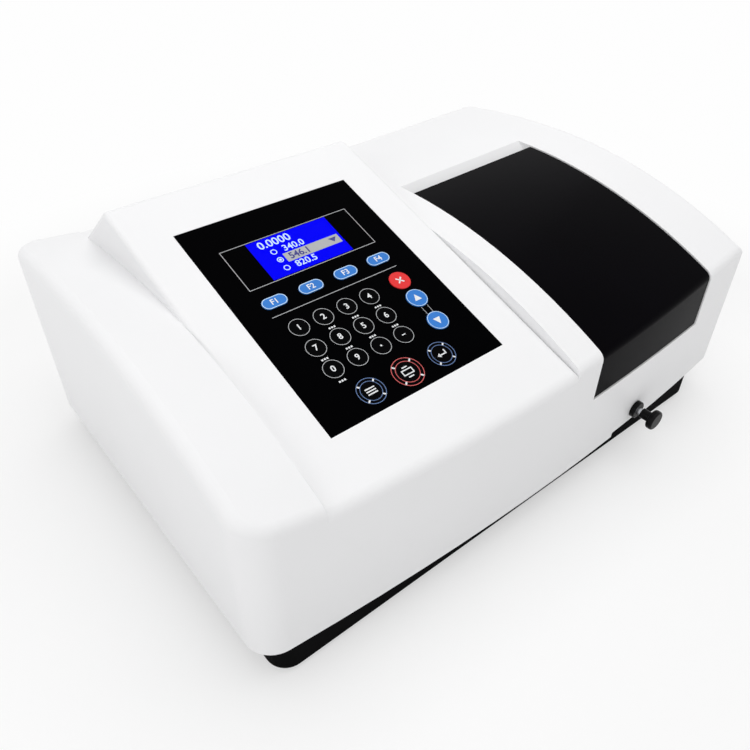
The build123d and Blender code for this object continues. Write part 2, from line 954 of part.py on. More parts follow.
# Carriage that holds the cuvettes and slides on the rails
first_cell_y = front_y + first_cell_from_front
cell_places = [
    (rod_x, first_cell_y + index * cuvette_pitch) for index in range(cuvette_count)
]
carriage_front = first_cell_y - cuvette_size / 2 - carriage_end_wall
carriage_back = cell_places[-1][1] + cuvette_size / 2 + carriage_end_wall
carriage_length = carriage_back - carriage_front
carriage_mid_y = (carriage_front + carriage_back) / 2
slab_bottom = rail_z - carriage_slab_height / 2
carriage_top = cell_base + cuvette_depth

with BuildPart() as cuvette_carriage:
    with BuildSketch(Plane.XY.offset(slab_bottom)):
        with Locations((rod_x, carriage_mid_y)):
            RectangleRounded(carriage_slab_width, carriage_length, carriage_corner_round)
    extrude(amount=carriage_slab_height)
    with BuildSketch(Plane.XY.offset(slab_bottom)):
        with Locations((rod_x, carriage_mid_y)):
            Rectangle(carriage_width, carriage_length)
    extrude(amount=carriage_top - slab_bottom)
    chamfer(cuvette_carriage.faces().sort_by(Axis.Z)[-1].edges(), length=carriage_chamfer)
    with BuildSketch(Plane.XZ.offset(-carriage_front)):
        with Locations(*rail_places):
            Circle(rail_radius + rail_running_gap)
    extrude(amount=-carriage_length, mode=Mode.SUBTRACT)
    with BuildSketch(Plane.XY.offset(cell_base)):
        with Locations(cell_places):
            Rectangle(cuvette_size, cuvette_size)
    extrude(amount=cuvette_depth, mode=Mode.SUBTRACT)
    with BuildSketch(Plane.YZ.offset(rod_x - carriage_width / 2)):
        for _, y in cell_places:
            with Locations((y, beam_z)):
                Circle(beam_window_radius)
    extrude(amount=carriage_width, mode=Mode.SUBTRACT)
    with BuildSketch(Plane.XZ.offset(-carriage_front)):
        with Locations((rod_x, rod_z)):
            Circle(rod_radius + fixed_fit)
    extrude(amount=-rod_tenon, mode=Mode.SUBTRACT)
save(cuvette_carriage.part, "cuvette_carriage")

# Pull rod, its gland in the case's front wall, and its knob
knob_tip = front_y - knob_reach
knob_collar = knob_tip + knob_head_length
knob_back = knob_collar + knob_neck_length
with BuildPart() as pull_rod:
    with BuildSketch(Plane.XZ.offset(-knob_collar)):
        with Locations((rod_x, rod_z)):
            Circle(rod_radius)
    extrude(amount=-(carriage_front + rod_tenon - knob_collar))
save(pull_rod.part, "pull_rod")

with BuildPart() as pull_knob:
    with BuildSketch(Plane.XZ.offset(-knob_back)):
        with Locations((rod_x, rod_z)):
            Circle(knob_neck_radius)
    extrude(amount=knob_neck_length)
    with BuildSketch(Plane.XZ.offset(-knob_collar)):
        with Locations((rod_x, rod_z)):
            Circle(knob_head_radius)
    extrude(amount=knob_head_length)
    head_rims = pull_knob.edges().filter_by(GeomType.CIRCLE)
    fillet(
        head_rims.filter_by(lambda edge: abs(edge.radius - knob_head_radius) < 0.1),
        radius=knob_edge_round,
    )
    with BuildSketch(Plane.XZ.offset(-knob_back)):
        with Locations((rod_x, rod_z)):
            Circle(rod_radius + fixed_fit)
    extrude(amount=knob_neck_length, mode=Mode.SUBTRACT)
save(pull_knob.part, "pull_knob")

bow_radius = (half_width**2 + front_bow**2) / (2 * front_bow)
gland_edge_x = rod_x - gland_radius
gland_face = front_y - front_bow + bow_radius - sqrt(bow_radius**2 - gland_edge_x**2)
with BuildPart() as rod_gland:
    with BuildSketch(Plane.XZ.offset(-gland_face)):
        with Locations((rod_x, rod_z)):
            Circle(gland_radius)
    extrude(amount=gland_proud)
    fillet(rod_gland.faces().sort_by(Axis.Y)[0].edges(), radius=gland_edge_round)
    with BuildSketch(Plane.XZ.offset(-gland_face)):
        with Locations((rod_x, rod_z)):
            Circle(gland_boss_radius)
    extrude(amount=-gland_boss_length)
    with BuildSketch(Plane.XZ.offset(-gland_face)):
        with Locations((rod_x, rod_z)):
            Circle(rod_radius + rod_running_gap)
    extrude(amount=gland_boss_length, both=True, mode=Mode.SUBTRACT)
save(rod_gland.part, "rod_gland")

# Keypad overlay with its holes, the display pane and the board under the keys
with BuildPart() as keypad_overlay:
    with BuildSketch(panel_plane.offset(-overlay_thickness)):
        Rectangle(overlay_width, overlay_length)
        with BuildSketch(mode=Mode.SUBTRACT):
            key_shapes(key_clearance)
            with Locations((0, display_up)):
                Rectangle(
                    display_width + 2 * display_clearance, display_height + 2 * display_clearance
                )
    extrude(amount=overlay_thickness)
save(keypad_overlay.part, "keypad_overlay")

with BuildPart() as display_window:
    with BuildSketch(panel_plane.offset(-overlay_thickness)):
        with Locations((0, display_up)):
            Rectangle(display_width, display_height)
    extrude(amount=display_pane_thickness)
save(display_window.part, "display_window")

with BuildPart() as lcd_module:
    with BuildSketch(panel_plane.offset(-overlay_thickness - lcd_bezel_depth)):
        with Locations((0, display_up)):
            Rectangle(display_width + 2 * lcd_bezel_margin, display_height + 2 * lcd_bezel_margin)
    extrude(amount=lcd_bezel_depth)
    with BuildSketch(
        panel_plane.offset(-overlay_thickness - lcd_bezel_depth - lcd_board_thickness)
    ):
        with Locations((0, display_up)):
            Rectangle(lcd_board_width, lcd_board_height)
    extrude(amount=lcd_board_thickness)
save(lcd_module.part, "lcd_module")

key_pocket_depth = key_rest_gap + key_flange_thickness + key_travel + key_pocket_spare
with BuildPart() as keypad_board:
    with BuildSketch(panel_plane.offset(-overlay_thickness - keypad_board_thickness)):
        with Locations((0, keypad_board_bottom)):
            Rectangle(
                2 * keypad_board_half_width,
                keypad_board_top - keypad_board_bottom,
                align=(Align.CENTER, Align.MIN),
            )
    extrude(amount=keypad_board_thickness)
    with BuildSketch(panel_plane.offset(-overlay_thickness - key_pocket_depth)):
        key_shapes(key_flange + key_pocket_clearance)
    extrude(amount=key_pocket_depth, mode=Mode.SUBTRACT)
save(keypad_board.part, "keypad_board")

# Keys, each with a flange that stays under the overlay
flange_bottom = -overlay_thickness - key_rest_gap - key_flange_thickness
key_stem = overlay_thickness + key_rest_gap + key_proud
for name, x, y, radius in round_keys:
    with BuildPart() as round_key:
        with BuildSketch(panel_plane.offset(flange_bottom)):
            with Locations((x, y)):
                Circle(radius + key_flange)
        extrude(amount=key_flange_thickness)
        with BuildSketch(panel_plane.offset(flange_bottom + key_flange_thickness)):
            with Locations((x, y)):
                Circle(radius)
        extrude(amount=key_stem)
        fillet(round_key.faces().sort_by(Axis.Z)[-1].edges(), radius=key_edge_round)
    save(round_key.part, name)

for name, x, y in soft_keys:
    with BuildPart() as soft_key:
        with BuildSketch(panel_plane.offset(flange_bottom)):
            with Locations((x, y)):
                SlotOverall(soft_key_length + 2 * key_flange, soft_key_width + 2 * key_flange)
        extrude(amount=key_flange_thickness)
        with BuildSketch(panel_plane.offset(flange_bottom + key_flange_thickness)):
            with Locations((x, y)):
                SlotOverall(soft_key_length, soft_key_width)
        extrude(amount=key_stem)
    save(soft_key.part, name)

# Optical bench on its legs
mono_back = back_y - mono_from_back
entrance_y = mono_back - entrance_from_mono_back
bench_front = front_y + bench_front_from_front
bench_right = tray_right - tray_rim
bench_back = tray_back - tray_rim - rim_gap
grating_y = front_y + grating_from_front
filter_axis_y = entrance_y + sqrt(filter_hole_circle**2 - filter_wheel_rise**2)
filter_axis_z = beam_z + filter_wheel_rise
filter_motor_bottom = filter_axis_z - small_motor_size / 2
leg_places = [
    (x, y)
    for x in (bench_left + bench_leg_inset, bench_middle_leg_x, bench_right - bench_leg_inset)
    for y in (bench_front + bench_leg_inset, bench_back - bench_leg_inset)
]
with BuildPart() as optical_bench:
    with BuildSketch(Plane.XY.offset(bench_height)):
        with Locations(((bench_left + bench_right) / 2, (bench_front + bench_back) / 2)):
            RectangleRounded(
                bench_right - bench_left, bench_back - bench_front, bench_corner_round
            )
    extrude(amount=bench_thickness)
    with BuildSketch(Plane.XY.offset(tray_floor)):
        with Locations(leg_places):
            Circle(bench_leg_radius)
    extrude(amount=bench_height - tray_floor)
    with BuildSketch(Plane.XY.offset(bench_top)):
        with Locations((filter_motor_face_x - motor_length / 2, filter_axis_y)):
            Rectangle(motor_length, small_motor_size)
    extrude(amount=filter_motor_bottom - bench_top)
    with BuildSketch(Plane.XY.offset(bench_height)):
        with Locations((grating_x, grating_y)):
            Circle(shaft_radius + shaft_passage_gap)
    extrude(amount=bench_thickness, mode=Mode.SUBTRACT)
save(optical_bench.part, "optical_bench")

# Monochromator: housing, slits, concave mirrors and the grating's turntable
mono_front = front_y + mono_front_from_front
mono_centre = ((mono_left + mono_right) / 2, (mono_front + mono_back) / 2)
mono_width = mono_right - mono_left
mono_depth = mono_back - mono_front
mono_floor_top = bench_top + mono_wall
with BuildPart() as monochromator_housing:
    with BuildSketch(Plane.XY.offset(bench_top)):
        with Locations(mono_centre):
            RectangleRounded(mono_width, mono_depth, mono_corner_round)
    extrude(amount=mono_height)
    with BuildSketch(Plane.XY.offset(mono_floor_top)):
        with Locations(mono_centre):
            Rectangle(mono_width - 2 * mono_wall, mono_depth - 2 * mono_wall)
    extrude(amount=mono_height, mode=Mode.SUBTRACT)
    for wall_x, port_y in ((mono_left, entrance_y), (mono_right - mono_wall, beam_y)):
        with BuildSketch(Plane.YZ.offset(wall_x)):
            with Locations((port_y, beam_z)):
                Circle(light_port_radius)
        extrude(amount=mono_wall, mode=Mode.SUBTRACT)
    with BuildSketch(Plane.XY.offset(bench_top)):
        with Locations((grating_x, grating_y)):
            Circle(shaft_radius + shaft_passage_gap)
    extrude(amount=mono_wall, mode=Mode.SUBTRACT)
save(monochromator_housing.part, "monochromator_housing")

with BuildPart() as slit_plates:
    for plate_x, port_y in (
        (mono_left - slit_plate_thickness, entrance_y),
        (mono_right, beam_y),
    ):
        with BuildSketch(Plane.YZ.offset(plate_x)):
            with Locations((port_y, beam_z)):
                Rectangle(slit_plate_size, slit_plate_size)
                Rectangle(slit_width, slit_height, mode=Mode.SUBTRACT)
        extrude(amount=slit_plate_thickness)
save(slit_plates.part, "slit_plates")


def mirror_plane(x, y, targets):
    """Upright plane whose normal halves the angle between two targets."""
    normal_x = 0
    normal_y = 0
    for target_x, target_y in targets:
        reach = hypot(target_x - x, target_y - y)
        normal_x += (target_x - x) / reach
        normal_y += (target_y - y) / reach
    return Plane(
        origin=(x, y, beam_z), x_dir=(-normal_y, normal_x, 0), z_dir=(normal_x, normal_y, 0)
    )


mirror_planes = (
    mirror_plane(
        first_mirror_x, entrance_y, ((mono_left, entrance_y), (grating_x, grating_y))
    ),
    mirror_plane(second_mirror_x, beam_y, ((mono_right, beam_y), (grating_x, grating_y))),
)
mount_centre_z = mono_floor_top + mirror_mount_height / 2 - beam_z
with BuildPart() as collimating_mirrors:
    for plane in mirror_planes:
        with BuildSketch(plane.offset(-mirror_thickness)):
            Circle(mirror_radius)
        extrude(amount=mirror_thickness)
        with Locations(plane.offset(mirror_dish).location):
            Sphere(mirror_dish + mirror_dish_depth, mode=Mode.SUBTRACT)
    for plane in mirror_planes:
        with BuildSketch(plane.offset(-mirror_thickness - mirror_mount_depth)):
            with Locations((0, mount_centre_z)):
                Rectangle(mirror_mount_width, mirror_mount_height)
        extrude(amount=mirror_mount_depth)
save(collimating_mirrors.part, "collimating_mirrors")

grating_faces = mirror_plane(
    grating_x, grating_y, ((first_mirror_x, entrance_y), (second_mirror_x, beam_y))
)
turntable_bottom = mono_floor_top + turntable_gap
turntable_top = turntable_bottom + turntable_thickness
grating_motor_top = bench_height
with BuildPart() as grating_turntable:
    with BuildSketch(Plane.XY.offset(turntable_bottom)):
        with Locations((grating_x, grating_y)):
            Circle(turntable_radius)
    extrude(amount=turntable_thickness)
    with BuildSketch(Plane.XY.offset(grating_motor_top - motor_bore_depth)):
        with Locations((grating_x, grating_y)):
            Circle(shaft_radius)
    extrude(amount=turntable_bottom - grating_motor_top + motor_bore_depth)
    with BuildSketch(grating_faces.offset(-grating_thickness / 2)):
        with Locations((0, turntable_top + grating_height / 2 - beam_z)):
            Rectangle(grating_width, grating_height)
    extrude(amount=grating_thickness)
save(grating_turntable.part, "grating_turntable")

# Filter wheel with one filter hole in the beam
filter_start = degrees(atan2(beam_z - filter_axis_z, entrance_y - filter_axis_y))
wheel_back_x = filter_wheel_x - filter_wheel_thickness / 2
with BuildPart() as filter_wheel:
    with BuildSketch(Plane.YZ.offset(wheel_back_x)):
        with Locations((filter_axis_y, filter_axis_z)):
            Circle(filter_wheel_radius)
            with PolarLocations(filter_hole_circle, filter_count, start_angle=filter_start):
                Circle(filter_hole_radius, mode=Mode.SUBTRACT)
    extrude(amount=filter_wheel_thickness)
    with BuildSketch(Plane.YZ.offset(filter_motor_face_x + filter_hub_gap)):
        with Locations((filter_axis_y, filter_axis_z)):
            Circle(filter_hub_radius)
    extrude(amount=wheel_back_x - filter_motor_face_x - filter_hub_gap)
    with BuildSketch(Plane.YZ.offset(filter_motor_face_x - motor_bore_depth)):
        with Locations((filter_axis_y, filter_axis_z)):
            Circle(shaft_radius)
    extrude(amount=motor_bore_depth + filter_hub_gap)
save(filter_wheel.part, "filter_wheel")

# Lamp house with two lamps and the mirror that chooses between them
lamp_house_back = back_y - lamp_house_from_back
lamp_house_front = lamp_house_back - lamp_house_depth
lamp_house_right = bench_left
lamp_house_width = lamp_house_right - lamp_house_left
lamp_house_centre = (
    (lamp_house_left + lamp_house_right) / 2,
    (lamp_house_front + lamp_house_back) / 2,
)
lamp_floor_top = tray_floor + lamp_house_base
tungsten_y = entrance_y + tungsten_behind_mirror
vent_rows = [
    lamp_house_centre[1] + (index - (lamp_vent_count - 1) / 2) * lamp_vent_pitch
    for index in range(lamp_vent_count)
]
with BuildPart() as lamp_house:
    with BuildSketch(Plane.XY.offset(tray_floor)):
        with Locations(lamp_house_centre):
            Rectangle(lamp_house_width, lamp_house_depth)
    extrude(amount=lamp_house_height)
    with BuildSketch(Plane.XY.offset(lamp_floor_top)):
        with Locations(lamp_house_centre):
            Rectangle(
                lamp_house_width - 2 * lamp_house_wall, lamp_house_depth - 2 * lamp_house_wall
            )
    extrude(amount=lamp_house_height, mode=Mode.SUBTRACT)
    with BuildSketch(Plane.YZ.offset(lamp_house_right - lamp_house_wall)):
        with Locations((entrance_y, beam_z)):
            Circle(lamp_port_radius)
    extrude(amount=lamp_house_wall, mode=Mode.SUBTRACT)
    with BuildSketch(Plane.YZ.offset(lamp_house_left)):
        for y in vent_rows:
            with Locations((y, beam_z)):
                Rectangle(lamp_vent_width, lamp_vent_height)
    extrude(amount=lamp_house_wall, mode=Mode.SUBTRACT)
save(lamp_house.part, "lamp_house")

with BuildPart() as tungsten_lamp:
    with BuildSketch(Plane.XY.offset(lamp_floor_top)):
        with Locations((lamp_x, tungsten_y)):
            Circle(tungsten_base_radius)
    extrude(amount=tungsten_base_height)
    with BuildSketch(Plane.XY.offset(lamp_floor_top + tungsten_base_height)):
        with Locations((lamp_x, tungsten_y)):
            Circle(tungsten_bulb_radius)
    extrude(amount=tungsten_bulb_height)
    fillet(tungsten_lamp.faces().sort_by(Axis.Z)[-1].edges(), radius=tungsten_bulb_round)
save(tungsten_lamp.part, "tungsten_lamp")

with BuildPart() as deuterium_lamp:
    with BuildSketch(Plane.XY.offset(lamp_floor_top)):
        with Locations((deuterium_x, entrance_y)):
            Circle(deuterium_base_radius)
    extrude(amount=deuterium_base_height)
    with BuildSketch(Plane.XY.offset(lamp_floor_top + deuterium_base_height)):
        with Locations((deuterium_x, entrance_y)):
            Circle(deuterium_bulb_radius)
    extrude(amount=deuterium_bulb_height)
    fillet(deuterium_lamp.faces().sort_by(Axis.Z)[-1].edges(), radius=deuterium_bulb_round)
save(deuterium_lamp.part, "deuterium_lamp")

source_motor_top = lamp_floor_top + motor_length
source_post_top = source_motor_top + turntable_gap + source_mirror_post_height
source_plane = Plane(
    origin=(lamp_x, entrance_y, source_post_top), x_dir=(-1, 1, 0), z_dir=(1, 1, 0)
)
with BuildPart() as source_mirror:
    with BuildSketch(Plane.XY.offset(source_motor_top - motor_bore_depth)):
        with Locations((lamp_x, entrance_y)):
            Circle(shaft_radius)
    extrude(amount=motor_bore_depth + turntable_gap)
    with BuildSketch(Plane.XY.offset(source_motor_top + turntable_gap)):
        with Locations((lamp_x, entrance_y)):
            Circle(source_mirror_post_radius)
    extrude(amount=source_mirror_post_height)
    with BuildSketch(source_plane.offset(-source_mirror_thickness / 2)):
        with Locations((0, source_mirror_height / 2)):
            Rectangle(source_mirror_size, source_mirror_height)
    extrude(amount=source_mirror_thickness)
save(source_mirror.part, "source_mirror")

with BuildPart() as stepper_motors:
    with BuildSketch(Plane.XY.offset(grating_motor_top - motor_length)):
        with Locations((grating_x, grating_y)):
            RectangleRounded(motor_size, motor_size, motor_corner_round)
    extrude(amount=motor_length)
    with BuildSketch(Plane.XY.offset(grating_motor_top - motor_bore_depth)):
        with Locations((grating_x, grating_y)):
            Circle(shaft_radius + shaft_running_gap)
    extrude(amount=motor_bore_depth, mode=Mode.SUBTRACT)
    with BuildSketch(Plane.XY.offset(lamp_floor_top)):
        with Locations((lamp_x, entrance_y)):
            RectangleRounded(small_motor_size, small_motor_size, motor_corner_round)
    extrude(amount=motor_length)
    with BuildSketch(Plane.XY.offset(source_motor_top - motor_bore_depth)):
        with Locations((lamp_x, entrance_y)):
            Circle(shaft_radius + shaft_running_gap)
    extrude(amount=motor_bore_depth, mode=Mode.SUBTRACT)
    with BuildSketch(Plane.YZ.offset(filter_motor_face_x - motor_length)):
        with Locations((filter_axis_y, filter_axis_z)):
            Rectangle(small_motor_size, small_motor_size)
    extrude(amount=motor_length)
    with BuildSketch(Plane.YZ.offset(filter_motor_face_x - motor_bore_depth)):
        with Locations((filter_axis_y, filter_axis_z)):
            Circle(shaft_radius + shaft_running_gap)
    extrude(amount=motor_bore_depth, mode=Mode.SUBTRACT)
save(stepper_motors.part, "stepper_motors")

# Detector on the far side of the sample compartment
detector_left = lid_right + tub_wall + detector_to_tub
with BuildPart() as detector_housing:
    with BuildSketch(Plane.XY.offset(bench_top)):
        with Locations((detector_left + detector_width / 2, beam_y)):
            Rectangle(detector_width, detector_depth)
    extrude(amount=detector_height)
    with BuildSketch(Plane.YZ.offset(detector_left)):
        with Locations((beam_y, beam_z)):
            Circle(photodiode_radius + fixed_fit)
    extrude(amount=detector_bore_depth, mode=Mode.SUBTRACT)
save(detector_housing.part, "detector_housing")

with BuildPart() as photodiode:
    with BuildSketch(Plane.YZ.offset(detector_left + detector_bore_depth - photodiode_length)):
        with Locations((beam_y, beam_z)):
            Circle(photodiode_radius)
    extrude(amount=photodiode_length)
save(photodiode.part, "photodiode")

# Places of the power supply and the main board in the left bay
left_bay_edge = tray_left + tray_rim + rim_gap
supply_back = lamp_house_front - supply_to_lamp_house
supply_centre = (left_bay_edge + supply_width / 2, supply_back - supply_depth / 2)
main_board_right = bench_left - board_to_bench
main_board_front = front_y + main_board_front_from_front
main_board_back = supply_back - supply_depth - board_to_supply
main_board_centre = (
    (left_bay_edge + main_board_right) / 2,
    (main_board_front + main_board_back) / 2,
)
main_board_size = (main_board_right - left_bay_edge, main_board_back - main_board_front)

# Main board on standoffs
board_top = tray_floor + standoff_height + board_thickness
chip_places = [
    (main_board_centre[0] + column * chip_pitch, main_board_centre[1] + row * chip_pitch / 2)
    for column in (-1, 0, 1)
    for row in (-1, 1)
]
with BuildPart() as main_board:
    with BuildSketch(Plane.XY.offset(tray_floor + standoff_height)):
        with Locations(main_board_centre):
            Rectangle(*main_board_size)
    extrude(amount=board_thickness)
    with BuildSketch(Plane.XY.offset(tray_floor)):
        with Locations(main_board_centre):
            with GridLocations(
                main_board_size[0] - 2 * standoff_inset, main_board_size[1] - 2 * standoff_inset, 2, 2
            ):
                Circle(standoff_radius)
    extrude(amount=standoff_height)
    with BuildSketch(Plane.XY.offset(board_top)):
        with Locations(chip_places):
            Rectangle(chip_size, chip_size)
    extrude(amount=chip_height)
save(main_board.part, "main_board")

# Vented power supply
with BuildPart() as power_supply:
    with BuildSketch(Plane.XY.offset(tray_floor)):
        with Locations(supply_centre):
            Rectangle(supply_width, supply_depth)
    extrude(amount=supply_height)
    with BuildSketch(Plane.XY.offset(tray_floor + supply_wall)):
        with Locations(supply_centre):
            Rectangle(supply_width - 2 * supply_wall, supply_depth - 2 * supply_wall)
    extrude(amount=supply_height - 2 * supply_wall, mode=Mode.SUBTRACT)
    with BuildSketch(Plane.XY.offset(tray_floor + supply_height - supply_wall)):
        with Locations(supply_centre):
            with GridLocations(supply_vent_pitch, 0, supply_vent_count, 1):
                Rectangle(supply_vent_width, supply_vent_length)
    extrude(amount=supply_wall, mode=Mode.SUBTRACT)
save(power_supply.part, "power_supply")

# Rear panel with its vents and cutouts
panel_front = back_y - wall - rear_panel_thickness
panel_back = back_y - wall
port_places = [(port_x + side * port_pitch / 2, port_height) for side in (-1, 1)]
inlet_body_tall = switch_height - inlet_height + inlet_tall / 2 + switch_tall / 2
inlet_body_mid = inlet_height - inlet_tall / 2 + inlet_body_tall / 2
rear_plane = Plane(origin=(0, panel_front, 0), x_dir=(1, 0, 0), z_dir=(0, -1, 0))
with BuildPart() as rear_panel:
    with BuildSketch(rear_plane.offset(-rear_panel_thickness)):
        with Locations(
            (
                (rear_panel_left + rear_panel_right) / 2,
                cover_base + (rear_window_bottom + rear_window_top) / 2,
            )
        ):
            Rectangle(
                rear_panel_right - rear_panel_left,
                rear_window_top - rear_window_bottom + 2 * rear_panel_lap,
            )
        with Locations((inlet_x, inlet_body_mid)):
            Rectangle(
                inlet_width + 2 * panel_cutout_gap,
                inlet_body_tall + 2 * panel_cutout_gap,
                mode=Mode.SUBTRACT,
            )
        with Locations(port_places):
            Rectangle(
                port_shell_width + 2 * port_body_margin + 2 * panel_cutout_gap,
                port_shell_tall + 2 * port_body_margin + 2 * panel_cutout_gap,
                mode=Mode.SUBTRACT,
            )
        with BuildSketch(mode=Mode.SUBTRACT):
            with Locations((fan_x, fan_height)):
                Circle(vent_radius)
                with GridLocations(0, vent_slot_pitch, 1, vent_slot_count + 1):
                    Rectangle(
                        2 * vent_radius, vent_slot_pitch - vent_slot_width, mode=Mode.SUBTRACT
                    )
    extrude(amount=rear_panel_thickness)
save(rear_panel.part, "rear_panel")

# Cooling fan
fan_front = panel_front - fan_depth
with BuildPart() as fan_frame:
    with BuildSketch(Plane.XZ.offset(-panel_front)):
        with Locations((fan_x, fan_height)):
            RectangleRounded(fan_size, fan_size, fan_corner_round)
            Circle(fan_bore_radius, mode=Mode.SUBTRACT)
            with GridLocations(fan_hole_pitch, fan_hole_pitch, 2, 2):
                Circle(fan_hole_radius, mode=Mode.SUBTRACT)
    extrude(amount=fan_depth)
    with BuildSketch(Plane.XZ.offset(-fan_front - fan_mount_depth)):
        with Locations((fan_x, fan_height)):
            Circle(fan_hub_radius)
            Rectangle(2 * fan_bore_radius + 1, fan_spoke_width)
            Rectangle(fan_spoke_width, 2 * fan_bore_radius + 1)
    extrude(amount=fan_mount_depth)
    with BuildSketch(Plane.XZ.offset(-fan_front - fan_mount_depth)):
        with Locations((fan_x, fan_height)):
            Circle(fan_pin_radius)
    extrude(amount=-fan_pin_length)
save(fan_frame.part, "fan_frame")

rotor_front = fan_front + fan_mount_depth + fan_rotor_gap
rotor_depth = panel_front - fan_rotor_gap - rotor_front
fan_blade_root = fan_hub_radius - 1
fan_blade_reach = fan_bore_radius - fan_blade_gap - fan_blade_root
fan_blade_middle = fan_blade_root + fan_blade_reach / 2
rotor_plane = Plane(
    origin=(fan_x, rotor_front + rotor_depth / 2, fan_height), x_dir=(1, 0, 0), z_dir=(0, -1, 0)
)
with BuildPart() as fan_rotor:
    with BuildSketch(Plane.XZ.offset(-rotor_front - rotor_depth)):
        with Locations((fan_x, fan_height)):
            Circle(fan_hub_radius)
    extrude(amount=rotor_depth)
    with Locations(rotor_plane):
        with PolarLocations(fan_blade_middle, fan_blade_count):
            Box(
                fan_blade_reach,
                fan_blade_chord,
                fan_blade_thickness,
                rotation=(fan_blade_angle, 0, 0),
            )
    with BuildSketch(Plane.XZ.offset(-rotor_front - rotor_depth)):
        with Locations((fan_x, fan_height)):
            Circle(fan_pin_radius + shaft_running_gap)
    extrude(amount=rotor_depth, mode=Mode.SUBTRACT)
save(fan_rotor.part, "fan_rotor")

# Mains inlet, which also holds the rocker switch
rocker_axis_y = back_y - rocker_axis_from_back
rocker_width = switch_width - 2 * switch_wall - 2 * rocker_clearance
with BuildPart() as mains_inlet:
    with BuildSketch(Plane.XZ.offset(-panel_back)):
        with Locations((inlet_x, inlet_body_mid)):
            Rectangle(inlet_width, inlet_body_tall)
    extrude(amount=inlet_depth)
    with BuildSketch(Plane.XZ.offset(-panel_back)):
        with Locations((inlet_x, inlet_body_mid)):
            Rectangle(
                inlet_width + 2 * inlet_flange_margin, inlet_body_tall + 2 * inlet_flange_margin
            )
    extrude(amount=-inlet_flange)
    with BuildSketch(Plane.XZ.offset(-panel_back - inlet_flange)):
        with Locations((inlet_x, inlet_height)):
            Rectangle(inlet_mouth_width, inlet_mouth_tall)
    extrude(amount=inlet_mouth_depth, mode=Mode.SUBTRACT)
    with BuildSketch(Plane.XZ.offset(-panel_back - inlet_flange + inlet_mouth_depth)):
        for column, rise in ((-1, 0), (0, inlet_earth_rise), (1, 0)):
            with Locations((inlet_x + column * inlet_pin_pitch, inlet_height + rise)):
                Rectangle(inlet_pin_width, inlet_pin_tall)
    extrude(amount=-inlet_pin_length)
    with BuildSketch(Plane.XZ.offset(-panel_back - inlet_flange)):
        with Locations((inlet_x, switch_height)):
            Rectangle(
                switch_width - 2 * switch_wall, 2 * (rocker_radius + rocker_clearance)
            )
    extrude(amount=inlet_flange + switch_body_depth, mode=Mode.SUBTRACT)
    with BuildSketch(Plane.YZ.offset(inlet_x - inlet_width / 2)):
        with Locations((rocker_axis_y, switch_height)):
            Circle(rocker_pin_radius + rocker_pin_gap)
    extrude(amount=inlet_width, mode=Mode.SUBTRACT)
save(mains_inlet.part, "mains_inlet")

rocker_plane = Plane(
    origin=(inlet_x - rocker_width / 2, rocker_axis_y, switch_height),
    x_dir=(0, cos(radians(rocker_tilt)), sin(radians(rocker_tilt))),
    z_dir=(1, 0, 0),
)
with BuildPart() as rocker_switch:
    with BuildSketch(rocker_plane):
        Circle(rocker_radius)
        with Locations((rocker_face, 0)):
            Rectangle(
                rocker_radius, 2 * rocker_radius, align=(Align.MIN, Align.CENTER), mode=Mode.SUBTRACT
            )
    extrude(amount=rocker_width)
    with BuildSketch(rocker_plane.offset(-rocker_clearance - rocker_pin_reach)):
        Circle(rocker_pin_radius)
    extrude(amount=rocker_width + 2 * (rocker_clearance + rocker_pin_reach))
save(rocker_switch.part, "rocker_switch")

# Two data ports
with BuildPart() as data_ports:
    with BuildSketch(Plane.XZ.offset(-panel_back)):
        with Locations(port_places):
            Rectangle(port_width, port_tall)
    extrude(amount=-port_flange)
    with BuildSketch(Plane.XZ.offset(-panel_back)):
        with Locations(port_places):
            Rectangle(
                port_shell_width + 2 * port_body_margin, port_shell_tall + 2 * port_body_margin
            )
    extrude(amount=port_depth)
    with BuildSketch(Plane.XZ.offset(-panel_back - port_flange)):
        for x, z in port_places:
            with BuildLine():
                Polyline(
                    (x - port_shell_width / 2, z + port_shell_tall / 2),
                    (x + port_shell_width / 2, z + port_shell_tall / 2),
                    (x + port_shell_width / 2 - port_shell_taper, z - port_shell_tall / 2),
                    (x - port_shell_width / 2 + port_shell_taper, z - port_shell_tall / 2),
                    close=True,
                )
            make_face()
    extrude(amount=-port_shell_reach)
    with BuildSketch(Plane.XZ.offset(-panel_back - port_flange - port_shell_reach)):
        for x, z in port_places:
            for count, row in ((5, 1), (4, -1)):
                with Locations((x, z + row * port_row_gap)):
                    with GridLocations(port_hole_pitch, 0, count, 1):
                        Circle(port_hole_radius)
    extrude(amount=port_hole_depth, mode=Mode.SUBTRACT)
save(data_ports.part, "data_ports")
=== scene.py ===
from math import cos, pi, radians, sin

import bpy
from mathutils import Matrix, Vector


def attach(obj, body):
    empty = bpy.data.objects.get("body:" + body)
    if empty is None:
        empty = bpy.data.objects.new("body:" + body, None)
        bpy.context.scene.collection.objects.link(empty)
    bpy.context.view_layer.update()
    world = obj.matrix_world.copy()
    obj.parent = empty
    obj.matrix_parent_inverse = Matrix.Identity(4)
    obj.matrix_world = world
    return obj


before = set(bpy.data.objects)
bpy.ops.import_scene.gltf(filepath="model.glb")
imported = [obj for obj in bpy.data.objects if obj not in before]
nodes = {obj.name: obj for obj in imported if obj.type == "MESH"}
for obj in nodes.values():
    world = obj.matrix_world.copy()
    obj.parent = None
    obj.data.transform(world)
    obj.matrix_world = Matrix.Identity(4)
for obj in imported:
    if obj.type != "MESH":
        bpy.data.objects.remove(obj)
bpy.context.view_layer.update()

# The console panel's own axes, in millimetres: x to the right, y up the slope
MM_PER_M = 1000
PANEL_ORIGIN = (-86.0, -24.863, 169.776)
PANEL_SLOPE = radians(17.75)
KEY_PROUD = 0.5

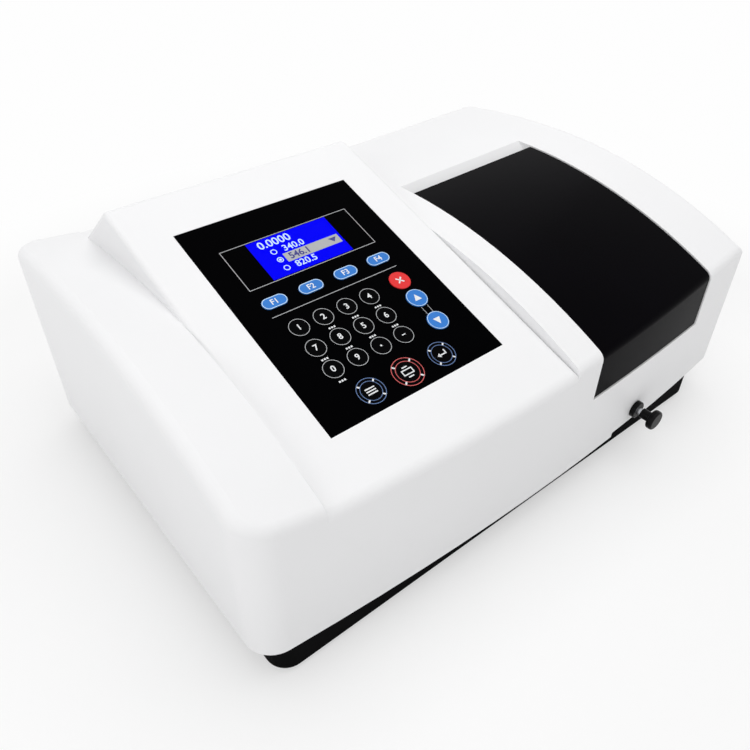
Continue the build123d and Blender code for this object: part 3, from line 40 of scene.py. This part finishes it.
# Printing lies a hair above its surface, and a second layer a hair above that
PRINT_LIFT = 0.03
LAYER_STEP = 0.04

# Straight steps that stand for a curve
RING_SEGMENTS = 72
SMALL_RING_SEGMENTS = 32
DISC_SEGMENTS = 48
PILL_END_SEGMENTS = 20
GLYPH_SEGMENTS = 4

# Display values to linear light
DISPLAY_FULL = 255
DISPLAY_TOE = 0.04045
TOE_SLOPE = 12.92
CURVE_OFFSET = 0.055
CURVE_POWER = 2.4


def linear(red, green, blue):
    """A colour given as display values from 0 to 255."""

    def channel(value):
        value = value / DISPLAY_FULL
        if value <= DISPLAY_TOE:
            return value / TOE_SLOPE
        return ((value + CURVE_OFFSET) / (1 + CURVE_OFFSET)) ** CURVE_POWER

    return (channel(red), channel(green), channel(blue), 1.0)


def add_node(tree, kind, **values):
    """A shader node with these constants on its sockets."""
    node = tree.nodes.new(f"ShaderNode{kind}")
    for key, value in values.items():
        node.inputs[key.replace("_", " ")].default_value = value
    return node


# Materials
FINE_DETAIL = 4
BROAD_SCALE = 14.0
BROAD_DETAIL = 3
DARK_BELOW = 0.3
LIGHT_ABOVE = 0.7
GLOSS_SPREAD = 0.08
LEAST_ROUGHNESS = 0.01
RELIEF_DEPTH = 0.001


def surface(
    name,
    colour,
    roughness=0.4,
    metallic=0.0,
    grain=250.0,
    tint=0.04,
    bump=0.02,
    stretch=(1, 1, 1),
    **inputs,
):
    """A procedural surface.

    Broad noise darkens the colour by up to the tint. Fine noise at the
    grain's scale, stretched along the axes, varies the roughness and adds
    relief.
    """
    material = bpy.data.materials.new(name)
    material.use_nodes = True
    tree = material.node_tree
    shader = tree.nodes["Principled BSDF"]
    place = add_node(tree, "TexCoord")
    mapping = add_node(tree, "Mapping", Scale=stretch)
    tree.links.new(place.outputs["Object"], mapping.inputs["Vector"])
    fine = add_node(tree, "TexNoise", Scale=grain, Detail=FINE_DETAIL)
    broad = add_node(tree, "TexNoise", Scale=BROAD_SCALE, Detail=BROAD_DETAIL)
    tree.links.new(mapping.outputs["Vector"], fine.inputs["Vector"])
    tree.links.new(place.outputs["Object"], broad.inputs["Vector"])
    shade = add_node(tree, "ValToRGB")
    dark = [channel * (1 - tint) for channel in colour[:3]] + [1.0]
    shade.color_ramp.elements[0].position = DARK_BELOW
    shade.color_ramp.elements[0].color = dark
    shade.color_ramp.elements[1].position = LIGHT_ABOVE
    shade.color_ramp.elements[1].color = colour
    tree.links.new(broad.outputs["Fac"], shade.inputs["Fac"])
    tree.links.new(shade.outputs["Color"], shader.inputs["Base Color"])
    gloss = add_node(
        tree,
        "MapRange",
        To_Min=max(roughness - GLOSS_SPREAD / 2, LEAST_ROUGHNESS),
        To_Max=min(roughness + GLOSS_SPREAD / 2, 1.0),
    )
    tree.links.new(fine.outputs["Fac"], gloss.inputs["Value"])
    tree.links.new(gloss.outputs["Result"], shader.inputs["Roughness"])
    if bump:
        relief = add_node(tree, "Bump", Strength=bump, Distance=RELIEF_DEPTH)
        tree.links.new(fine.outputs["Fac"], relief.inputs["Height"])
        tree.links.new(relief.outputs["Normal"], shader.inputs["Normal"])
    shader.inputs["Metallic"].default_value = metallic
    for key, value in inputs.items():
        shader.inputs[key.replace("_", " ")].default_value = value
    return material


def ink(name, colour, roughness=0.45):
    """A flat printing ink or a glyph of the display."""
    return surface(name, colour, roughness, tint=0.05, bump=0.0)


case_white = surface(
    "case_white",
    linear(240, 240, 241),
    roughness=0.45,
    grain=900.0,
    tint=0.012,
    bump=0.05,
    Specular_IOR_Level=0.3,
)

# The blacks have a low IOR, because a pale sky at a grazing angle greys them
tray_black = surface(
    "tray_black", linear(6, 6, 7), roughness=0.6, grain=1400.0, bump=0.1, tint=0.2, IOR=1.08
)
rubber = surface(
    "rubber", linear(12, 12, 13), roughness=0.8, grain=700.0, bump=0.15, tint=0.2, IOR=1.1
)
lid_black = surface(
    "lid_black", linear(4, 3, 6), roughness=0.24, grain=500.0, bump=0.01, tint=0.3, IOR=1.07
)
film_black = surface(
    "film_black", linear(1, 1, 2), roughness=0.45, grain=1200.0, bump=0.03, tint=0.3, IOR=1.04
)
key_black = surface(
    "key_black", linear(2, 2, 3), roughness=0.4, grain=1200.0, bump=0.03, tint=0.3, IOR=1.06
)
knob_black = surface(
    "knob_black", linear(6, 6, 7), roughness=0.3, grain=900.0, bump=0.04, tint=0.2, IOR=1.2
)
plastic_black = surface(
    "plastic_black", linear(24, 24, 25), roughness=0.45, grain=900.0, bump=0.06, tint=0.2
)


def coloured_key(name, colour):
    return surface(
        name, colour, roughness=0.4, grain=900.0, bump=0.03, tint=0.1, Specular_IOR_Level=0.15
    )


key_blue = coloured_key("key_blue", linear(48, 122, 206))
key_red = coloured_key("key_red", linear(228, 46, 48))
print_white = ink("print_white", linear(228, 230, 232))
print_grey = ink("print_grey", linear(168, 170, 172))
print_pale = ink("print_pale", linear(186, 216, 246))
print_blue = ink("print_blue", linear(70, 102, 152))
print_red = ink("print_red", linear(205, 76, 76))
lcd_ink = ink("lcd_ink", linear(2, 3, 120), roughness=0.4)
lcd_blue = surface(
    "lcd_blue",
    linear(0, 0, 196),
    roughness=0.3,
    grain=600.0,
    bump=0.0,
    tint=0.06,
    IOR=1.06,
    Emission_Color=linear(0, 0, 255),
    Emission_Strength=0.4,
)
lcd_light = surface(
    "lcd_light",
    linear(176, 196, 250),
    roughness=0.4,
    tint=0.04,
    bump=0.0,
    Emission_Color=linear(150, 175, 250),
    Emission_Strength=0.4,
)
anodised = surface(
    "anodised",
    linear(30, 30, 33),
    roughness=0.42,
    metallic=0.7,
    grain=1500.0,
    bump=0.05,
    tint=0.15,
)
steel = surface(
    "steel",
    linear(196, 198, 202),
    roughness=0.25,
    metallic=1.0,
    grain=160.0,
    stretch=(8, 1, 8),
    bump=0.02,
    tint=0.12,
)
aluminium = surface(
    "aluminium",
    linear(200, 202, 205),
    roughness=0.38,
    metallic=1.0,
    grain=220.0,
    stretch=(1, 10, 1),
    bump=0.03,
    tint=0.12,
)
zinc = surface(
    "zinc",
    linear(150, 153, 158),
    roughness=0.45,
    metallic=0.8,
    grain=60.0,
    bump=0.02,
    tint=0.3,
)
board = surface(
    "board", linear(18, 84, 46), roughness=0.4, grain=350.0, bump=0.05, tint=0.35
)
polished = surface(
    "polished", linear(225, 228, 232), roughness=0.05, metallic=1.0, bump=0.0, tint=0.04
)
lamp_glass = surface(
    "lamp_glass",
    linear(235, 240, 244),
    roughness=0.06,
    bump=0.0,
    tint=0.03,
    Transmission_Weight=0.85,
    IOR=1.45,
)

finishes = {
    "top_cover": case_white,
    "base_tray": tray_black,
    "rubber_feet": rubber,
    "sample_lid": lid_black,
    "keypad_overlay": film_black,
    "display_window": lcd_blue,
    "pull_knob": knob_black,
    "rod_gland": knob_black,
    "keypad_board": board,
    "main_board": board,
    "lcd_module": plastic_black,
    "fan_frame": plastic_black,
    "fan_rotor": plastic_black,
    "mains_inlet": plastic_black,
    "rocker_switch": plastic_black,
    "photodiode": plastic_black,
    "sample_tub": anodised,
    "cuvette_carriage": anodised,
    "monochromator_housing": anodised,
    "detector_housing": anodised,
    "cover_screws": steel,
    "lid_hinge_pin": steel,
    "guide_rails": steel,
    "pull_rod": steel,
    "slit_plates": steel,
    "data_ports": steel,
    "hinge_brackets": aluminium,
    "optical_bench": aluminium,
    "grating_turntable": aluminium,
    "filter_wheel": aluminium,
    "rear_panel": zinc,
    "stepper_motors": zinc,
    "lamp_house": zinc,
    "power_supply": zinc,
    "collimating_mirrors": polished,
    "source_mirror": polished,
    "tungsten_lamp": lamp_glass,
    "deuterium_lamp": lamp_glass,
}
for name in nodes:
    if name.startswith(("key_number", "key_ring")):
        finishes[name] = key_black
    elif name == "key_escape":
        finishes[name] = key_red
    elif name.startswith("key_"):
        finishes[name] = key_blue
for name, node in nodes.items():
    node.data.materials.clear()
    node.data.materials.append(finishes[name])


# Printed graphics: flat shapes in the panel's millimetres
def panel_matrix(height):
    """From panel millimetres at a height above the overlay to metres in the frame."""
    up = (0, cos(PANEL_SLOPE), sin(PANEL_SLOPE))
    out = (0, -sin(PANEL_SLOPE), cos(PANEL_SLOPE))
    origin = [PANEL_ORIGIN[index] + out[index] * height for index in range(3)]
    rows = [
        (1, up[0], out[0], origin[0]),
        (0, up[1], out[1], origin[1]),
        (0, up[2], out[2], origin[2]),
        (0, 0, 0, MM_PER_M),
    ]
    return Matrix([[value / MM_PER_M for value in row] for row in rows])


def circle(x, y, radius, segments):
    return [
        (x + radius * cos(2 * pi * i / segments), y + radius * sin(2 * pi * i / segments))
        for i in range(segments)
    ]


def pill(x, y, length, width):
    """Outline of a bar with round ends."""
    radius = width / 2
    reach = length / 2 - radius
    turns = [-pi / 2 + pi * i / PILL_END_SEGMENTS for i in range(PILL_END_SEGMENTS + 1)]
    right = [(x + reach + radius * cos(turn), y + radius * sin(turn)) for turn in turns]
    left = [(2 * x - px, 2 * y - py) for px, py in right]
    return right + left


def rectangle(left, bottom, right, top):
    return [(left, bottom), (right, bottom), (right, top), (left, top)]


class Print:
    """Collects flat shapes and makes them into one piece."""

    def __init__(self, name, body, height):
        self.name = name
        self.body = body
        self.matrix = panel_matrix(height + PRINT_LIFT)
        self.points = []
        self.faces = []
        self.slots = []
        self.materials = []

    def shape(self, points, faces, material):
        if material not in self.materials:
            self.materials.append(material)
        start = len(self.points)
        self.points += [self.matrix @ Vector((x, y, 0)) for x, y in points]
        self.faces += [[start + index for index in face] for face in faces]
        self.slots += [self.materials.index(material)] * len(faces)

    def polygon(self, points, material):
        self.shape(points, [list(range(len(points)))], material)

    def bar(self, start, end, width, material):
        run = (Vector(end) - Vector(start)).normalized() * width / 2
        side = Vector((-run.y, run.x))
        a, b = Vector(start), Vector(end)
        self.polygon([a - side, b - side, b + side, a + side], material)

    def band(self, outer, inner, material):
        """The strip between two outlines of equal length."""
        count = len(outer)
        faces = [
            (i, (i + 1) % count, count + (i + 1) % count, count + i) for i in range(count)
        ]
        self.shape(outer + inner, faces, material)

    def border(self, left, bottom, right, top, width, material):
        """A rectangle's edge, the width measured inwards."""
        inner = rectangle(left + width, bottom + width, right - width, top - width)
        self.band(rectangle(left, bottom, right, top), inner, material)

    def ring(self, x, y, radius, width, material, segments=RING_SEGMENTS):
        inner = circle(x, y, radius - width, segments)
        self.band(circle(x, y, radius, segments), inner, material)

    def disc(self, x, y, radius, material):
        self.polygon(circle(x, y, radius, DISC_SEGMENTS), material)

    def text(self, words, x, y, size, material, weight=0.0):
        curve = bpy.data.curves.new("glyphs", "FONT")
        curve.body = words
        curve.size = size
        curve.align_x = "CENTER"
        curve.align_y = "CENTER"
        curve.offset = weight
        curve.resolution_u = GLYPH_SEGMENTS
        holder = bpy.data.objects.new("glyphs", curve)
        bpy.context.scene.collection.objects.link(holder)
        bpy.context.view_layer.update()
        flat = bpy.data.meshes.new_from_object(holder)
        points = [(x + vertex.co.x, y + vertex.co.y) for vertex in flat.vertices]
        self.shape(points, [list(face.vertices) for face in flat.polygons], material)
        bpy.data.objects.remove(holder)
        bpy.data.meshes.remove(flat)
        bpy.data.curves.remove(curve)

    def finish(self):
        mesh = bpy.data.meshes.new(self.name)
        mesh.from_pydata(self.points, [], self.faces)
        for material in self.materials:
            mesh.materials.append(material)
        for face, slot in zip(mesh.polygons, self.slots):
            face.material_index = slot
        mesh.update()
        piece = bpy.data.objects.new(self.name, mesh)
        bpy.context.scene.collection.objects.link(piece)
        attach(piece, self.body)


def key_print(name):
    return Print(f"print_{name}", name, KEY_PROUD)


# Overlay: the display's border, the dividing line, links and small marks
NUMBER_X = (-41.5, -22.4, -3.3, 15.8)
NUMBER_Y = (-14.4, -33.2, -52.0)
KEYS_WITHOUT_DASHES = ((0, 0), (2, 1), (2, 2), (2, 3))
LINE_WIDTH = 0.5
DISPLAY_BORDER = (-52.8, 25.9, 52.5, 64.75)
DIVIDER = ((-52.2, 0.2), (51.6, 0.2))
LINK_X = (42.5, 47.7)
LINK_TOP = -38.9
LINK_BOTTOM = -45.6
LINK_WIDTH = 0.4
DASH_COUNT = 3
DASH_STEP = 1.9
DASH_SIZE = 1.3
DASHES_LEFT_OF_KEY = 2.6
DASHES_BELOW_KEY = 9.8

overlay = Print("overlay_print", "body", 0)
overlay.border(*DISPLAY_BORDER, LINE_WIDTH, print_grey)
overlay.bar(*DIVIDER, LINE_WIDTH, print_grey)
for x in LINK_X:
    overlay.bar((x, LINK_TOP), (x, LINK_BOTTOM), LINK_WIDTH, print_grey)
for row, y in enumerate(NUMBER_Y):
    for column, x in enumerate(NUMBER_X):
        if (row, column) in KEYS_WITHOUT_DASHES:
            continue
        height = y - DASHES_BELOW_KEY
        for step in range(DASH_COUNT):
            start = x - DASHES_LEFT_OF_KEY + step * DASH_STEP
            overlay.bar((start, height), (start + DASH_SIZE, height), DASH_SIZE, print_white)
overlay.finish()

# Number keys: a ring and a digit, a point or a minus each
DIGITS = (("1", "2", "3", "4"), ("7", "8", "5", "6"), ("0", "9", ".", "-"))
NUMBER_RING_RADIUS = 7.0
NUMBER_RING_WIDTH = 0.42
DIGIT_SIZE = 6.4
DIGIT_WEIGHT = 0.12
POINT_RADIUS = 0.7
MINUS_REACH = 1.4
MINUS_WIDTH = 0.7

for row, y in enumerate(NUMBER_Y):
    for column, x in enumerate(NUMBER_X):
        key = key_print(f"key_number_{row + 1}{column + 1}")
        key.ring(x, y, NUMBER_RING_RADIUS, NUMBER_RING_WIDTH, print_grey)
        mark = DIGITS[row][column]
        if mark == ".":
            key.disc(x, y, POINT_RADIUS, print_white)
        elif mark == "-":
            key.bar((x - MINUS_REACH, y), (x + MINUS_REACH, y), MINUS_WIDTH, print_white)
        else:
            key.text(mark, x, y, DIGIT_SIZE, print_white, DIGIT_WEIGHT)
        key.finish()

# Pill keys below the display: a pale border and a small mark
SOFT_KEYS = 4
SOFT_PITCH = 28.9
SOFT_Y = 11.2
SOFT_LENGTH = 18.3
SOFT_WIDTH = 9.1
SOFT_BORDER = 0.6
SOFT_TEXT_SIZE = 6.2
SOFT_TEXT_WEIGHT = 0.1

for index in range(SOFT_KEYS):
    x = (index - (SOFT_KEYS - 1) / 2) * SOFT_PITCH
    key = key_print(f"key_soft_{index + 1}")
    inner = pill(x, SOFT_Y, SOFT_LENGTH - 2 * SOFT_BORDER, SOFT_WIDTH - 2 * SOFT_BORDER)
    key.band(pill(x, SOFT_Y, SOFT_LENGTH, SOFT_WIDTH), inner, print_pale)
    key.text(f"F{index + 1}", x, SOFT_Y, SOFT_TEXT_SIZE, print_white, SOFT_TEXT_WEIGHT)
    key.finish()

# Escape: a cross
ESCAPE_X = 44.6
ESCAPE_Y = -12.4
CROSS_REACH = 2.3
CROSS_WIDTH = 1.1

key = key_print("key_escape")
for rise in (CROSS_REACH, -CROSS_REACH):
    key.bar(
        (ESCAPE_X - CROSS_REACH, ESCAPE_Y - rise),
        (ESCAPE_X + CROSS_REACH, ESCAPE_Y + rise),
        CROSS_WIDTH,
        print_white,
    )
key.finish()

# Up and down: a pale ring and an arrowhead. Each has its x, its y and its way.
ARROW_KEYS = {"key_up": (45.0, -30.9, 1), "key_down": (45.2, -53.5, -1)}
ARROW_RING_RADIUS = 7.6
ARROW_RING_WIDTH = 0.5
ARROW_REACH = 2.9
ARROW_BASE = 2.2
ARROW_TIP = 3.4

for name, (x, y, way) in ARROW_KEYS.items():
    key = key_print(name)
    key.ring(x, y, ARROW_RING_RADIUS, ARROW_RING_WIDTH, print_pale)
    base = y - ARROW_BASE * way
    tip = y + ARROW_TIP * way
    key.polygon([(x - ARROW_REACH, base), (x + ARROW_REACH, base), (x, tip)], print_white)
    key.finish()

# Ring keys: two rings joined by four short ties, and a plain symbol
RING_KEY_Y = -77.0
SIDE_RING_RADIUS = 10.0
MIDDLE_RING_RADIUS = 11.3
RING_KEY_MARGIN = 0.2
OUTER_RING_WIDTH = 0.5
INNER_RING_SHARE = 0.74
INNER_RING_WIDTH = 0.45
TIE_START_SHARE = 0.73
TIE_MARGIN = 0.3
TIE_WIDTH = 1.1
SYMBOL_WIDTH = 0.9


def ringed(name, x, radius, material):
    key = key_print(name)
    key.ring(x, RING_KEY_Y, radius - RING_KEY_MARGIN, OUTER_RING_WIDTH, material)
    key.ring(x, RING_KEY_Y, radius * INNER_RING_SHARE, INNER_RING_WIDTH, material)
    for quarter in range(4):
        angle = pi / 4 + quarter * pi / 2
        ends = [
            (x + reach * cos(angle), RING_KEY_Y + reach * sin(angle))
            for reach in (radius * TIE_START_SHARE, radius - TIE_MARGIN)
        ]
        key.bar(ends[0], ends[1], TIE_WIDTH, print_white)
    return key


# Left: three lines
LEFT_KEY_X = -30.7
LINES_REACH = 3.7
LINES_STEP = 2.0

key = ringed("key_ring_left", LEFT_KEY_X, SIDE_RING_RADIUS, print_blue)
for step in (-1, 0, 1):
    y = RING_KEY_Y + step * LINES_STEP
    start = (LEFT_KEY_X - LINES_REACH, y)
    key.bar(start, (LEFT_KEY_X + LINES_REACH, y), SYMBOL_WIDTH, print_white)
key.finish()

# Middle: a box between two lines
MIDDLE_KEY_X = -1.1
BOX_REACH = 4.3
BOX_RISE = 2.2
BOX_WIDTH = 0.8
BOX_LINE_REACH = 2.1
BOX_LINES_RISE = (3.8, -4.0)

key = ringed("key_ring_middle", MIDDLE_KEY_X, MIDDLE_RING_RADIUS, print_red)
key.border(
    MIDDLE_KEY_X - BOX_REACH,
    RING_KEY_Y - BOX_RISE,
    MIDDLE_KEY_X + BOX_REACH,
    RING_KEY_Y + BOX_RISE,
    BOX_WIDTH,
    print_white,
)
for rise in BOX_LINES_RISE:
    y = RING_KEY_Y + rise
    start = (MIDDLE_KEY_X - BOX_LINE_REACH, y)
    key.bar(start, (MIDDLE_KEY_X + BOX_LINE_REACH, y), SYMBOL_WIDTH, print_white)
key.finish()

# Right: an arrow that comes down and turns left
RIGHT_KEY_X = 28.2
RETURN_LINE = ((24.9, -77.6), (31.4, -77.6))
RETURN_STEM = ((31.4, -78.05), (31.4, -74.4))
RETURN_HEAD = ((24.2, -77.6), (26.6, -79.4), (26.6, -75.8))

key = ringed("key_ring_right", RIGHT_KEY_X, SIDE_RING_RADIUS, print_blue)
for start, end in (RETURN_LINE, RETURN_STEM):
    key.bar(start, end, SYMBOL_WIDTH, print_white)
key.polygon(RETURN_HEAD, print_white)
key.finish()

# The display's picture: a heading and three rows, the middle one highlighted
HEADING_PLACE = (-13.4, 58.0)
HEADING_SIZE = 9.6
HEADING_WEIGHT = 0.14
HIGHLIGHT = (-14.8, 37.2, 31.2, 45.5)
ROW_X = -3.0
ROW_Y = (49.5, 41.3, 33.1)
ROW_SIZE = 7.8
ROW_WEIGHT = 0.12
CHOSEN_WEIGHT = 0.2
BUTTON_X = -19.0
BUTTON_RADIUS = 2.4
BUTTON_WIDTH = 0.7
BUTTON_DOT_RADIUS = 1.1
CHOSEN_BUTTON_Y = 41.4
OTHER_BUTTONS_Y = (49.6, 33.2)
MARKER = ((22.4, 43.6), (29.2, 43.6), (25.8, 39.4))

highlight = Print("display_highlight", "body", 0)
highlight.polygon(rectangle(*HIGHLIGHT), print_grey)
highlight.finish()
picture = Print("display_picture", "body", LAYER_STEP)
picture.text("0.0000", *HEADING_PLACE, HEADING_SIZE, lcd_light, HEADING_WEIGHT)
for y in (*OTHER_BUTTONS_Y, CHOSEN_BUTTON_Y):
    picture.ring(BUTTON_X, y, BUTTON_RADIUS, BUTTON_WIDTH, lcd_light, SMALL_RING_SEGMENTS)
picture.disc(BUTTON_X, CHOSEN_BUTTON_Y, BUTTON_DOT_RADIUS, lcd_light)
picture.text("340.0", ROW_X, ROW_Y[0], ROW_SIZE, lcd_light, ROW_WEIGHT)
picture.text("546.1", ROW_X, ROW_Y[1], ROW_SIZE, lcd_ink, CHOSEN_WEIGHT)
picture.polygon(MARKER, lcd_ink)
picture.text("820.5", ROW_X, ROW_Y[2], ROW_SIZE, lcd_light, ROW_WEIGHT)
picture.finish()

# Stage: a pale floor, lifted for the camera, that fades to plain white away from the object
FLOOR_REACH = 6.0
FLOOR_COLOUR = (0.93, 0.93, 0.93, 1)
PLAIN_WHITE = (0.99, 0.99, 0.99, 1)
FADE_START = 0.28
FADE_END = 0.6
CAMERA_LIFT = 0.5

floor_mesh = bpy.data.meshes.new("floor")
corners = rectangle(-FLOOR_REACH, -FLOOR_REACH, FLOOR_REACH, FLOOR_REACH)
floor_mesh.from_pydata([(x, y, 0) for x, y in corners], [], [(0, 1, 2, 3)])
floor = bpy.data.objects.new("floor", floor_mesh)
bpy.context.scene.collection.objects.link(floor)
floor_material = bpy.data.materials.new("floor")
floor_material.use_nodes = True
tree = floor_material.node_tree
tree.nodes.clear()
output = add_node(tree, "OutputMaterial")
mix = add_node(tree, "MixShader")
matt = add_node(tree, "BsdfDiffuse", Color=FLOOR_COLOUR)
plain = add_node(tree, "Emission", Color=PLAIN_WHITE)
place = add_node(tree, "TexCoord")
length = add_node(tree, "VectorMath")
length.operation = "LENGTH"
fade = add_node(tree, "MapRange", From_Min=FADE_START, From_Max=FADE_END)
fade.interpolation_type = "SMOOTHSTEP"
sight = add_node(tree, "LightPath")
lift = add_node(tree, "Math")
lift.operation = "MULTIPLY"
lift.inputs[1].default_value = CAMERA_LIFT
either = add_node(tree, "Math")
either.operation = "MAXIMUM"
tree.links.new(place.outputs["Object"], length.inputs[0])
tree.links.new(length.outputs["Value"], fade.inputs["Value"])
tree.links.new(sight.outputs["Is Camera Ray"], lift.inputs[0])
tree.links.new(lift.outputs["Value"], either.inputs[0])
tree.links.new(fade.outputs["Result"], either.inputs[1])
tree.links.new(either.outputs["Value"], mix.inputs["Fac"])
tree.links.new(matt.outputs["BSDF"], mix.inputs[1])
tree.links.new(plain.outputs["Emission"], mix.inputs[2])
tree.links.new(mix.outputs["Shader"], output.inputs["Surface"])
floor_mesh.materials.append(floor_material)

# Sky: white to the camera, in reflections and through glass, softer for lighting
SKY_GLOW = 0.55

world = bpy.data.worlds.new("sky")
bpy.context.scene.world = world
world.use_nodes = True
tree = world.node_tree
tree.nodes.clear()
output = add_node(tree, "OutputWorld")
mix = add_node(tree, "MixShader")
seen = add_node(tree, "Background", Color=PLAIN_WHITE)
glow = add_node(tree, "Background", Color=(1, 1, 1, 1), Strength=SKY_GLOW)
path = add_node(tree, "LightPath")
previous = path.outputs["Is Camera Ray"]
for ray in ("Is Glossy Ray", "Is Transmission Ray"):
    either = add_node(tree, "Math")
    either.operation = "MAXIMUM"
    tree.links.new(previous, either.inputs[0])
    tree.links.new(path.outputs[ray], either.inputs[1])
    previous = either.outputs["Value"]
tree.links.new(previous, mix.inputs["Fac"])
tree.links.new(glow.outputs["Background"], mix.inputs[1])
tree.links.new(seen.outputs["Background"], mix.inputs[2])
tree.links.new(mix.outputs["Shader"], output.inputs["Surface"])

# Soft lights, in metres and watts
LIGHT_TARGET = (0, 0, 0.1)


def lamp(name, place, size, power):
    """A square soft light that faces the object."""
    light = bpy.data.lights.new(name, "AREA")
    light.shape = "SQUARE"
    light.size = size
    light.energy = power
    holder = bpy.data.objects.new(name, light)
    holder.location = place
    holder.rotation_mode = "QUATERNION"
    way = Vector(LIGHT_TARGET) - Vector(place)
    holder.rotation_quaternion = way.to_track_quat("-Z", "Y")
    bpy.context.scene.collection.objects.link(holder)


lamp("top_light", place=(0.15, 0.0, 1.6), size=1.6, power=12.6)
lamp("rear_light", place=(1.2, 1.0, 1.4), size=1.0, power=1.0)
lamp("left_light", place=(-1.7, -0.5, 0.9), size=1.0, power=6)

# Camera, placed as fitted to the photograph's edges
CAMERA_PLACE = (-0.3283, -0.3595, 0.4346)
CAMERA_YAW = radians(39.391)
CAMERA_PITCH = radians(39.335)
CAMERA_ROLL = radians(0.339)
CAMERA_LENS = 34.79
SENSOR_WIDTH = 36

flat_reach = cos(CAMERA_PITCH)
ahead = Vector(
    (sin(CAMERA_YAW) * flat_reach, cos(CAMERA_YAW) * flat_reach, -sin(CAMERA_PITCH))
)
level = Vector((cos(CAMERA_YAW), -sin(CAMERA_YAW), 0))
over = level.cross(ahead)
right = level * cos(CAMERA_ROLL) + over * sin(CAMERA_ROLL)
above = over * cos(CAMERA_ROLL) - level * sin(CAMERA_ROLL)
camera_data = bpy.data.cameras.new("camera")
camera_data.lens = CAMERA_LENS
camera_data.sensor_width = SENSOR_WIDTH
camera = bpy.data.objects.new("camera", camera_data)
camera.matrix_world = Matrix(
    [
        (right.x, above.x, -ahead.x, CAMERA_PLACE[0]),
        (right.y, above.y, -ahead.y, CAMERA_PLACE[1]),
        (right.z, above.z, -ahead.z, CAMERA_PLACE[2]),
        (0, 0, 0, 1),
    ]
)
bpy.context.scene.collection.objects.link(camera)
bpy.context.scene.camera = camera
bpy.context.scene.view_settings.view_transform = "Standard"
